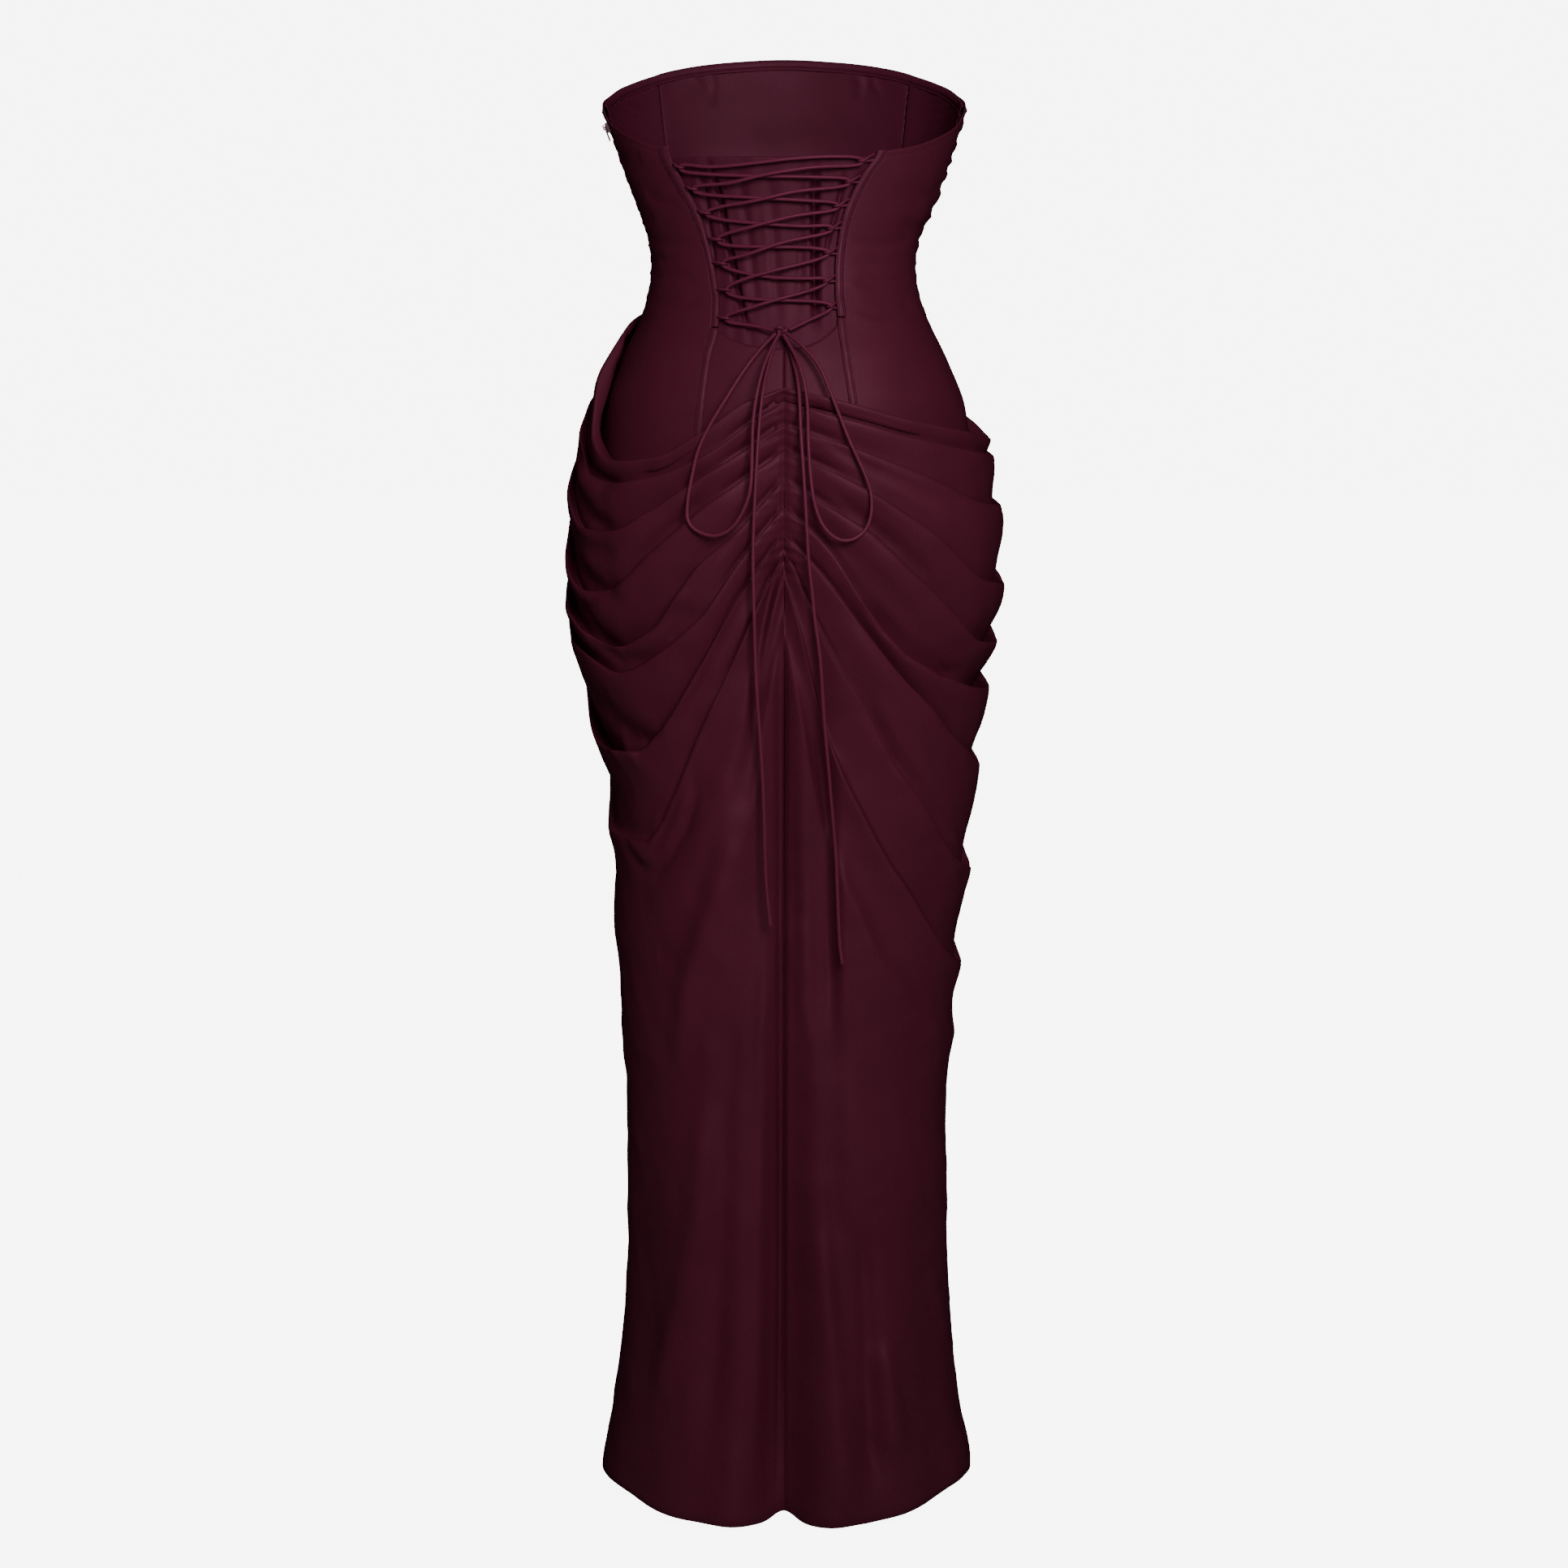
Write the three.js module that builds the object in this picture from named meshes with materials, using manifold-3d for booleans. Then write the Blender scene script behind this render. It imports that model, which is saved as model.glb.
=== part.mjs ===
// A strapless ruched maxi dress with a lace-up back, filled out as worn.
// Millimetres, +Z up. The back faces +Y, the wearer's left side is +X.
// The origin is the middle of the waist, where the wearer holds the dress.
import * as THREE from 'three';
import Module from 'manifold-3d';
import { mergeVertices } from 'three/addons/utils/BufferGeometryUtils.js';

// Driving dimensions
const CLOTH = 2.2;            // wall of the skirt's doubled cloth, measured level
const PANEL = 1.8;            // wall of the boned back panels
const LINING = 1.4;           // wall of the front's lining
const SEAM_GAP = 0.3;         // gap between two pieces that are sewn together
const HALF_GAP = SEAM_GAP / 2;
const BASQUE_END = -215;      // lower edge of the bodice, under the drape
const HEM = -1120;            // height of the hem
const BAND_HEIGHT = 8;        // band inside the top edge of the front
const ROUNDNESS = 2.2;        // 2 would be an ellipse; a figure is a little squarer
const LACE_WIDTH = 3.2;       // diameter of the lace
const LOOP_WIDTH = 2;         // diameter of a fabric loop
const BACK_CENTRE = 0;        // angles run round the figure from the centre back
const LEFT_SIDE = 90;
const FRONT_CENTRE = 180;
const RIGHT_SIDE = 270;
const FULL_TURN = 360;

// The figure under the bodice: half width at the sides, depth to the back and to the front
const BODICE_FORM = [
  { z: 205, left: 163, right: 163, back: 88, front: 118 },
  { z: 143, left: 163, right: 163, back: 88, front: 118 },
  { z: 108, left: 152, right: 154, back: 86, front: 120 },
  { z: 87, left: 145, right: 147, back: 85, front: 118 },
  { z: 44, left: 129, right: 131, back: 83, front: 108 },
  { z: 22, left: 122, right: 121, back: 83, front: 100 },
  { z: 0, left: 119, right: 118, back: 84, front: 94 },
  { z: -21, left: 121, right: 120, back: 87, front: 93 },
  { z: -43, left: 127, right: 127, back: 93, front: 96 },
  { z: -87, left: 147, right: 148, back: 107, front: 103 },
  { z: -130, left: 162, right: 164, back: 116, front: 107 },
  { z: -220, left: 172, right: 173, back: 118, front: 108 },
];

// The crests of the drape and the skirt below it
const SKIRT_FORM = [
  { z: -38, left: 132, right: 132, back: 101, front: 104 },
  { z: -54, left: 141, right: 141, back: 106, front: 110 },
  { z: -76, left: 155, right: 152, back: 112, front: 114 },
  { z: -98, left: 168, right: 164, back: 119, front: 118 },
  { z: -141, left: 182, right: 182, back: 129, front: 124 },
  { z: -170, left: 189, right: 189, back: 132, front: 127 },
  { z: -207, left: 196, right: 194, back: 136, front: 130 },
  { z: -240, left: 197, right: 200, back: 138, front: 131 },
  { z: -306, left: 198, right: 199, back: 139, front: 130 },
  { z: -358, left: 189, right: 189, back: 136, front: 127 },
  { z: -406, left: 179, right: 184, back: 131, front: 124 },
  { z: -440, left: 170, right: 179, back: 128, front: 122 },
  { z: -471, left: 162, right: 178, back: 126, front: 121 },
  { z: -555, left: 158, right: 170, back: 122, front: 118 },
  { z: -680, left: 150, right: 158, back: 120, front: 115 },
  { z: -743, left: 146, right: 152, back: 119, front: 114 },
  { z: -880, left: 144, right: 150, back: 122, front: 116 },
  { z: -948, left: 147, right: 153, back: 128, front: 119 },
  { z: -1040, left: 158, right: 162, back: 138, front: 126 },
  { z: -1100, left: 169, right: 173, back: 147, front: 131 },
  { z: -1125, left: 172, right: 172, back: 150, front: 133 },
];

// Height of the bodice's top edge, by angle from the centre back to the centre front
const TOP_EDGE = [
  { angle: 0, z: 92 }, { angle: 30, z: 96 }, { angle: 47, z: 101.5 }, { angle: 59, z: 109 },
  { angle: 75, z: 121 }, { angle: 82, z: 131 }, { angle: 90, z: 142 }, { angle: 105, z: 151.5 },
  { angle: 114, z: 159 }, { angle: 124, z: 166 }, { angle: 133, z: 172 }, { angle: 140, z: 177 },
  { angle: 154, z: 184 }, { angle: 165, z: 187.5 }, { angle: 180, z: 190 },
];

// The drape's fold lines: the height of each crest at the stations round the figure, and how
// deep the cloth falls in behind the next crest, on the left and on the right.
const STATIONS = [0, 10, 20, 35, 50, 65, 75, 90, 120, 180, 240, 270, 295, 325, 340, 350, 360];
const FOLDS = [
  { left: 7, right: 6, z: [-110, -124, -147, -170, -173, -158, -105, -52, -40, -80, -128, -157, -150, -137, -126, -118, -110] },
  { left: 8, right: 7, z: [-122, -146, -169, -188, -195, -189, -172, -138, -80, -112, -152, -172, -167, -154, -141, -132, -122] },
  { left: 10, right: 9, z: [-143, -167, -188, -217, -235, -235, -220, -192, -118, -155, -196, -216, -211, -183, -166, -155, -143] },
  { left: 13, right: 12, z: [-166, -192, -216, -255, -288, -291, -281, -260, -160, -205, -254, -287, -282, -228, -198, -181, -166] },
  { left: 8, right: 20, z: [-191, -234, -264, -322, -338, -328, -314, -300, -205, -258, -310, -338, -334, -278, -236, -214, -191] },
  { left: 14, right: 10, z: [-215, -263, -312, -345, -360, -348, -340, -332, -250, -306, -356, -380, -376, -345, -303, -252, -215] },
  { left: 11, right: 12, z: [-239, -294, -350, -408, -431, -431, -429, -420, -310, -372, -422, -451, -432, -372, -325, -282, -239] },
  { left: 8, right: 13, z: [-254, -336, -398, -468, -515, -513, -512, -505, -395, -455, -510, -548, -534, -455, -386, -338, -254] },
  { left: 3, right: 8, z: [-274, -410, -480, -560, -590, -600, -605, -608, -500, -550, -600, -636, -620, -545, -480, -410, -274] },
  { left: 1, right: 4, z: [-330, -500, -575, -650, -680, -690, -695, -700, -620, -650, -690, -700, -690, -640, -570, -500, -330] },
];
const CENTRE_BACK_DEPTH = 2;      // the ruched seam holds every fold shallow
const FULL_DEPTH_ANGLE = 32;      // folds reach their full depth this far from the seam
const BAND_STEPS = [0, 0.34, 0.7];          // rows of points inside each fold's band
const BAND_SHARE = [0, 0.55, 1];            // how far the cloth has fallen in at each
const LOWER_STEPS = [0, 0.12, 0.25, 0.38, 0.52, 0.66, 0.8, 0.91, 1];

// Soft flutes that run down the skirt: angle at the top and at the hem, where each begins and is
// full, its depth there and at the hem, and its half width in degrees
const FLUTES = [
  { top: 0, hem: 1, from: -60, full: -106, depth: 5.1, hemDepth: 30, width: 9 },
  { top: 15, hem: 24, from: -560, full: -760, depth: 5, hemDepth: 11, width: 8 },
  { top: 349, hem: 340, from: -330, full: -520, depth: 6, hemDepth: 3, width: 5 },
  { top: 341, hem: 333, from: -720, full: -900, depth: 4, hemDepth: 10, width: 7 },
  { top: 60, hem: 52, from: -640, full: -900, depth: 3, hemDepth: 7, width: 9 },
  { top: 300, hem: 306, from: -700, full: -900, depth: 3, hemDepth: 6, width: 8 },
  { top: 128, hem: 135, from: -560, full: -800, depth: 5, hemDepth: 10, width: 10 },
  { top: 176, hem: 180, from: -600, full: -820, depth: 5, hemDepth: 12, width: 11 },
  { top: 230, hem: 222, from: -620, full: -860, depth: 5, hemDepth: 10, width: 10 },
];

// Edges of the boned casings along the lacing opening, and the channels under them, as X by height
const CASING_LEFT = [
  { z: 98, inner: 101, outer: 110 }, { z: 76, inner: 92, outer: 100.5 }, { z: 45, inner: 75.5, outer: 83 },
  { z: 15, inner: 66, outer: 71.5 }, { z: -13, inner: 60, outer: 65.5 }, { z: -35, inner: 57, outer: 62.5 },
  { z: -57, inner: 57.5, outer: 63.5 },
];
const CASING_RIGHT = [
  { z: 98, inner: -82, outer: -90.5 }, { z: 76, inner: -68.5, outer: -76.5 }, { z: 54, inner: -57, outer: -64.5 },
  { z: 37, inner: -51, outer: -58 }, { z: 15, inner: -47, outer: -53.5 }, { z: -6, inner: -45, outer: -51.5 },
  { z: -27, inner: -45, outer: -51.5 }, { z: -48, inner: -47, outer: -54 },
];
const SEAM_BELOW_LEFT = [{ z: -57, x: 61 }, { z: -84, x: 67.5 }, { z: -150, x: 75.5 }, { z: -215, x: 80 }];
const SEAM_BELOW_RIGHT = [{ z: -48, x: -50.5 }, { z: -84, x: -54.5 }, { z: -124, x: -60.5 }, { z: -215, x: -68 }];
const CHANNEL_HALF = 3.6;
const CASING_RISE = 1.1;      // how far a casing stands out of the panels
const TOP_OF_V = -76;         // lowest point of the lacing opening, on the centre-back seam

// Seams of the front's lining, as X by height, the same on both sides
const LINING_SEAM = [
  { z: 190, x: 118 }, { z: 140, x: 114 }, { z: 110, x: 111 }, { z: 40, x: 98 }, { z: 0, x: 88 },
  { z: -60, x: 96 }, { z: -215, x: 118 },
];

const RUCHED_TO = -60;        // the front bodice's gathers end here, under the drape
const GATHERS = 14;           // gathers between the side seams of the front bodice
const GATHER_DEPTH = 2.6;
const GATHER_SLANT = 16;      // a gather is this much lower at the centre front
const GATHERS_FADE_OVER = 45; // the gathers grow to their full depth over this height
const GATHERS_FADE_FROM = 25; // and begin this far above their lower end

// Fabric loops: X and height of the root on the casing's edge and of the tip
const LOOPS_LEFT = [
  { rootX: 95.6, rootZ: 85, tipX: 88, tipZ: 82 }, { rootX: 85, rootZ: 65, tipX: 76, tipZ: 63 },
  { rootX: 74.5, rootZ: 44, tipX: 64.5, tipZ: 42 }, { rootX: 65.5, rootZ: 20, tipX: 54.5, tipZ: 19 },
  { rootX: 61.5, rootZ: -1, tipX: 50.5, tipZ: -2 }, { rootX: 57.5, rootZ: -25, tipX: 47, tipZ: -25 },
  { rootX: 56.5, rootZ: -49, tipX: 47.5, tipZ: -50 },
];
const LOOPS_RIGHT = [
  { rootX: -77.5, rootZ: 91, tipX: -65, tipZ: 87 }, { rootX: -65.5, rootZ: 72, tipX: -54, tipZ: 69 },
  { rootX: -55.5, rootZ: 52, tipX: -44, tipZ: 48 }, { rootX: -49, rootZ: 32, tipX: -38.5, tipZ: 28.5 },
  { rootX: -45.5, rootZ: 9.5, tipX: -35.5, tipZ: 7.5 }, { rootX: -44, rootZ: -14.5, tipX: -34, tipZ: -17.5 },
  { rootX: -45, rootZ: -38, tipX: -38, tipZ: -39.5 },
];

// The zip at the top of the left side seam: a slider whose bridge holds the pull tab's crossbar
const ZIP_ANGLE = 84;         // where it lies round the figure
const ZIP_HEIGHT = 121;
const SLIDER = { wide: 6, tall: 9, thick: 2.2, lift: 0.2 };
const BRIDGE = { wide: 1.6, top: 3.6, bottom: -1.4, leg: 0.8, inside: 2, thick: 1 };
const PULL = { wide: 4.6, bar: 1.1, barHeight: 1.5, window: 3.8, windowWide: 2.4, long: 14, thick: 1.1 };

function smooth(t) {
  const clamped = Math.min(1, Math.max(0, t));
  return clamped * clamped * (3 - 2 * clamped);
}

function mix(a, b, t) {
  return a + (b - a) * t;
}

// A smooth curve through the rows of a table, read at one value of its key column. It runs out
// level at both ends, unless the ends are pointed.
function along(rows, key, column, at, pointedEnds = false) {
  const up = rows[0][key] < rows[rows.length - 1][key];
  const beyond = (row) => (up ? row[key] >= at : row[key] <= at);
  let high = rows.findIndex(beyond);
  if (high < 0) high = rows.length - 1;
  if (high === 0) high = 1;
  const low = high - 1;
  const span = rows[high][key] - rows[low][key];
  const t = Math.min(1, Math.max(0, (at - rows[low][key]) / span));
  const slope = (index) => {
    if (index === 0 || index === rows.length - 1) {
      const beside = index === 0 ? 1 : index - 1;
      return pointedEnds ? (rows[beside][column] - rows[index][column]) / (rows[beside][key] - rows[index][key]) : 0;
    }
    const before = (rows[index][column] - rows[index - 1][column]) / (rows[index][key] - rows[index - 1][key]);
    const after = (rows[index + 1][column] - rows[index][column]) / (rows[index + 1][key] - rows[index][key]);
    return before * after <= 0 ? 0 : 2 * before * after / (before + after);
  };
  const a = rows[low][column];
  const b = rows[high][column];
  const t2 = t * t;
  const t3 = t2 * t;
  return (2 * t3 - 3 * t2 + 1) * a + (t3 - 2 * t2 + t) * span * slope(low)
    + (3 * t2 - 2 * t3) * b + (t3 - t2) * span * slope(high);
}

// A point of a form at an angle and height, moved out along the form's level normal
function onForm(form, angle, z, out) {
  const turn = THREE.MathUtils.degToRad(angle);
  const sine = Math.sin(turn);
  const cosine = Math.cos(turn);
  const wide = along(form, 'z', sine >= 0 ? 'left' : 'right', z);
  const deep = along(form, 'z', cosine >= 0 ? 'back' : 'front', z);
  const x = Math.sign(sine) * Math.pow(Math.abs(sine), 2 / ROUNDNESS);
  const y = Math.sign(cosine) * Math.pow(Math.abs(cosine), 2 / ROUNDNESS);
  const normalX = Math.sign(x) * Math.pow(Math.abs(x), ROUNDNESS - 1) / wide;
  const normalY = Math.sign(y) * Math.pow(Math.abs(y), ROUNDNESS - 1) / deep;
  const length = Math.hypot(normalX, normalY);
  return [x * wide + out * normalX / length, y * deep + out * normalY / length, z];
}

// The angle at which a form has a given X at a given height, on the back or on the front
function angleAt(form, x, z, onFront = false) {
  const wide = along(form, 'z', x >= 0 ? 'left' : 'right', z);
  const turn = THREE.MathUtils.radToDeg(Math.asin(Math.pow(Math.min(1, Math.abs(x) / wide), ROUNDNESS / 2)));
  const fromCentre = Math.sign(x) * turn;
  return onFront ? FRONT_CENTRE - fromCentre : fromCentre;
}

function topEdge(angle) {
  const turned = Math.abs(((angle + FRONT_CENTRE) % FULL_TURN + FULL_TURN) % FULL_TURN - FRONT_CENTRE);
  return along(TOP_EDGE, 'angle', 'z', turned);
}

function colour(hex, roughness, metalness = 0) {
  return { color: hex, roughness, metalness };
}
const SATIN = colour(0x47182a, 0.5);
const SATIN_INSIDE = colour(0x3c1422, 0.6);
const LACE_SATIN = colour(0x5a2438, 0.45);
const DARK_METAL = colour(0x2a1a1e, 0.35, 0.8);

const dress = new THREE.Group();
dress.name = 'dress';

function add(name, geometry, finish) {
  const mesh = new THREE.Mesh(geometry, new THREE.MeshStandardMaterial(finish));
  mesh.name = name;
  dress.add(mesh);
  return mesh;
}

// A closed wall between two grids of points, rows by columns
function wallGeometry(outside, inside) {
  const rows = outside.length;
  const columns = outside[0].length;
  const positions = [...outside.flat(), ...inside.flat()].flat();
  const outer = (row, column) => row * columns + column;
  const inner = (row, column) => rows * columns + row * columns + column;
  const faces = [];
  const quad = (a, b, c, d) => faces.push(a, b, c, a, c, d);
  for (let row = 0; row < rows - 1; row += 1) {
    for (let column = 0; column < columns - 1; column += 1) {
      quad(outer(row, column), outer(row, column + 1), outer(row + 1, column + 1), outer(row + 1, column));
      quad(inner(row, column), inner(row + 1, column), inner(row + 1, column + 1), inner(row, column + 1));
    }
    quad(outer(row + 1, 0), inner(row + 1, 0), inner(row, 0), outer(row, 0));
    const last = columns - 1;
    quad(outer(row, last), inner(row, last), inner(row + 1, last), outer(row + 1, last));
  }
  for (let column = 0; column < columns - 1; column += 1) {
    quad(outer(0, column + 1), outer(0, column), inner(0, column), inner(0, column + 1));
    const last = rows - 1;
    quad(outer(last, column), outer(last, column + 1), inner(last, column + 1), inner(last, column));
  }
  const geometry = new THREE.BufferGeometry();
  geometry.setAttribute('position', new THREE.Float32BufferAttribute(positions, 3));
  geometry.setIndex(faces);
  return geometry;
}

// Turns a wall's faces outwards whichever way its grid runs
function facingOut(geometry) {
  const points = geometry.getAttribute('position');
  const index = geometry.getIndex();
  const corner = (order) => new THREE.Vector3().fromBufferAttribute(points, index.getX(order));
  let volume = 0;
  for (let face = 0; face < index.count; face += 3) {
    volume += corner(face).dot(corner(face + 1).cross(corner(face + 2)));
  }
  if (volume < 0) {
    for (let face = 0; face < index.count; face += 3) {
      const second = index.getX(face + 1);
      index.setX(face + 1, index.getX(face + 2));
      index.setX(face + 2, second);
    }
  }
  geometry.computeVertexNormals();
  return geometry;
}

// A wall from a function that gives the outer and the inner point of each row and column
function addWall(name, rows, columns, pointPair, finish) {
  const outside = [];
  const inside = [];
  for (let row = 0; row < rows; row += 1) {
    const outerRow = [];
    const innerRow = [];
    for (let column = 0; column < columns; column += 1) {
      const [outer, inner] = pointPair(row, column);
      outerRow.push(outer);
      innerRow.push(inner);
    }
    outside.push(outerRow);
    inside.push(innerRow);
  }
  return add(name, facingOut(wallGeometry(outside, inside)), finish);
}

function evenly(from, to, count) {
  return Array.from({ length: count }, (_, step) => mix(from, to, step / (count - 1)));
}

// Skirt and drape
function foldHeight(fold, angle) {
  const rows = STATIONS.map((station, index) => ({ angle: station, z: fold.z[index] }));
  return along(rows, 'angle', 'z', angle, true);
}

function foldDepth(fold, angle) {
  const fromSeam = Math.min(angle, FULL_TURN - angle);
  const across = smooth((angle - LEFT_SIDE) / FRONT_CENTRE);
  const full = mix(fold.left, fold.right, across);
  return mix(CENTRE_BACK_DEPTH, full, smooth(fromSeam / FULL_DEPTH_ANGLE));
}

function fluteDepth(angle, z) {
  let depth = 0;
  for (const flute of FLUTES) {
    const down = (flute.full - z) / (flute.full - HEM);
    const middle = mix(flute.top, flute.hem, Math.min(1, Math.max(0, down)));
    const apart = Math.abs(((angle - middle + FRONT_CENTRE) % FULL_TURN + FULL_TURN) % FULL_TURN - FRONT_CENTRE);
    const begun = smooth((flute.from - z) / (flute.from - flute.full));
    const full = z > flute.full ? flute.depth : mix(flute.depth, flute.hemDepth, Math.min(1, down));
    depth += full * begun * Math.exp(-Math.pow(apart / flute.width, 2));
  }
  return depth;
}

// Height and inset of every row of the skirt at one angle, from the drape's top edge to the hem
function skirtRows(angle) {
  const rows = [];
  for (let index = 0; index < FOLDS.length - 1; index += 1) {
    const top = foldHeight(FOLDS[index], angle);
    const next = foldHeight(FOLDS[index + 1], angle);
    BAND_STEPS.forEach((step, order) => {
      rows.push({ z: mix(top, next, step), inset: BAND_SHARE[order] * foldDepth(FOLDS[index], angle) });
    });
  }
  const last = FOLDS[FOLDS.length - 1];
  for (const step of LOWER_STEPS) {
    const fading = foldDepth(last, angle) * Math.sin(Math.PI * Math.min(1, step * 3)) * (step < 1 / 3 ? 1 : 0);
    rows.push({ z: mix(foldHeight(last, angle), HEM, step), inset: fading });
  }
  return rows;
}

function addSkirtPanel(name, angles) {
  const columns = angles.map((angle) => skirtRows(angle));
  const lastColumn = angles.length - 1;
  addWall(name, columns[0].length, angles.length, (row, column) => {
    const { z, inset } = columns[column][row];
    const angle = angles[column];
    const out = -inset - fluteDepth(angle, z);
    const pair = [onForm(SKIRT_FORM, angle, z, out), onForm(SKIRT_FORM, angle, z, out - CLOTH)];
    if (column === 0 || column === lastColumn) {
      const neighbour = angles[column === 0 ? 1 : lastColumn - 1];
      moveOffSeam(pair, angle, neighbour);
    }
    return pair;
  }, SATIN);
}

// The end of a panel lies half a gap to its own side of the seam
function moveOffSeam(pair, seamAngle, insideAngle) {
  const own = insideAngle > seamAngle ? 1 : -1;
  const turn = THREE.MathUtils.degToRad(seamAngle);
  for (const point of pair) {
    point[0] += own * HALF_GAP * Math.cos(turn);
    point[1] -= own * HALF_GAP * Math.sin(turn);
  }
}

const BACK_ANGLES = [0, 4, 8, 13, 20, 28, 37, 47, 58, 69, 80, 90];
const SKIRT_FRONT_ANGLES = [90, 100, 112, 124, 136, 150, 164, 180, 196, 210, 224, 236, 248, 260, 270];
addSkirtPanel('skirt_back_left', BACK_ANGLES);
addSkirtPanel('skirt_back_right', BACK_ANGLES.map((angle) => FULL_TURN - angle).reverse());
addSkirtPanel('skirt_front', SKIRT_FRONT_ANGLES);

// Bodice front: a ruched outer layer, a smooth lining and a band inside the top edge
const FROM_SIDE = [0, 4, 10, 18, 28, 40, 53, 66, 78, 90];      // closer together where the form turns
const LEFT_HALF = FROM_SIDE.map((turn) => LEFT_SIDE + turn);
const RIGHT_HALF = FROM_SIDE.map((turn) => RIGHT_SIDE - turn).reverse();
const FRONT_ANGLES = [...LEFT_HALF, ...RIGHT_HALF.slice(1)];
const GATHER_ROWS = GATHERS * 2 + 1;
const PLAIN_ROWS = 4;
addWall('front_bodice', GATHER_ROWS + PLAIN_ROWS, FRONT_ANGLES.length, (row, column) => {
  const angle = FRONT_ANGLES[column];
  const top = topEdge(angle);
  const nearSide = Math.abs(Math.cos(THREE.MathUtils.degToRad(angle)));
  const gathering = Math.min(1, row / (GATHER_ROWS - 1));
  const slant = GATHER_SLANT * nearSide * Math.sin(Math.PI * gathering);
  const plain = Math.max(0, row - GATHER_ROWS + 1) / PLAIN_ROWS;
  const gathered = mix(top, RUCHED_TO, gathering) - slant;
  const z = row < GATHER_ROWS ? gathered : mix(RUCHED_TO, BASQUE_END, plain);
  const settled = smooth((z - RUCHED_TO - GATHERS_FADE_FROM) / GATHERS_FADE_OVER);
  const raised = row < GATHER_ROWS && row % 2 === 1 ? settled * GATHER_DEPTH * mix(1, 0.55, nearSide) : 0;
  const pair = [onForm(BODICE_FORM, angle, z, raised), onForm(BODICE_FORM, angle, z, -1)];
  if (column === 0 || column === FRONT_ANGLES.length - 1) {
    moveOffSeam(pair, angle, FRONT_CENTRE);
  }
  return pair;
}, SATIN);

const LINING_FACE = -3.3;     // the lining hangs just inside the outer layer's flat facets
const LINING_ROWS = 14;
const BAND_GAP = 1;           // the band's facets stay clear of the lining's
function addLining(name, fromAngle, toAngle, columns, crowded) {
  addWall(name, LINING_ROWS, columns, (row, column) => {
    const share = crowded(column / (columns - 1));
    const step = row / (LINING_ROWS - 1);
    const guess = mix(fromAngle(BASQUE_END), toAngle(BASQUE_END), share);
    const rough = mix(topEdge(guess) - BAND_HEIGHT, BASQUE_END, step);
    const angle = mix(fromAngle(rough), toAngle(rough), share);
    const z = mix(topEdge(angle) - BAND_HEIGHT - BAND_GAP, BASQUE_END, step);
    return [onForm(BODICE_FORM, angle, z, LINING_FACE), onForm(BODICE_FORM, angle, z, LINING_FACE - LINING)];
  }, SATIN_INSIDE);
}
const SEAM_TURN = 0.12;       // degrees from a lining seam to the panel's edge
const SIDE_TURN = 0.3;        // the lining ends this far from the side seam
const liningSeam = (side) => (z) => angleAt(BODICE_FORM, side * along(LINING_SEAM, 'z', 'x', z), z, true);
addLining('front_lining_left', () => LEFT_SIDE + SIDE_TURN, (z) => liningSeam(1)(z) - SEAM_TURN, 5,
  (share) => Math.pow(share, 1.5));
addLining('front_lining_centre', (z) => liningSeam(1)(z) + SEAM_TURN, (z) => liningSeam(-1)(z) - SEAM_TURN, 9,
  (share) => share);
addLining('front_lining_right', (z) => liningSeam(-1)(z) + SEAM_TURN, () => RIGHT_SIDE - SIDE_TURN, 5,
  (share) => 1 - Math.pow(1 - share, 1.5));

const BAND_ANGLES = FRONT_ANGLES.map((angle) => Math.min(RIGHT_SIDE - SIDE_TURN, Math.max(LEFT_SIDE + SIDE_TURN, angle)));
addWall('neckline_band_front', 2, BAND_ANGLES.length, (row, column) => {
  const angle = BAND_ANGLES[column];
  const z = topEdge(angle) - row * BAND_HEIGHT;
  return [onForm(BODICE_FORM, angle, z, LINING_FACE), onForm(BODICE_FORM, angle, z, LINING_FACE - LINING - 0.4)];
}, SATIN_INSIDE);

// Bodice back: side panels, casings, channels and the panels below the lacing
const CASING_TOP = 101.5;     // height of the top edge where the casings meet it
const CASING_ROWS = 9;        // rows of points from the neckline to the casings' ends
const BELOW_ROWS = 6;         // and from there to the lower edge
const SEAM_IN_CHANNEL = 2.7;  // the seam lies this far off the middle of the channel over it
const SIDES = {
  left: { own: 1, casing: CASING_LEFT, below: SEAM_BELOW_LEFT },
  right: { own: -1, casing: CASING_RIGHT, below: SEAM_BELOW_RIGHT },
};

function seamUnder(side, z) {
  return along(side.below, 'z', 'x', z) + side.own * SEAM_IN_CHANNEL;
}

function sideEdge(side, z) {
  const casingEnd = side.below[0].z;
  const aboveIt = z > casingEnd - 0.01;
  return aboveIt ? along(side.casing, 'z', 'outer', z) + side.own * SEAM_GAP : seamUnder(side, z) + side.own * HALF_GAP;
}

// Heights of the rows at one place: to the casing's end, then to the lower edge
function backHeight(side, angle, row) {
  const casingEnd = side.below[0].z;
  if (row < CASING_ROWS) return mix(topEdge(angle), casingEnd, row / (CASING_ROWS - 1));
  return mix(casingEnd, BASQUE_END, (row - CASING_ROWS + 1) / (BELOW_ROWS - 1));
}

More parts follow.
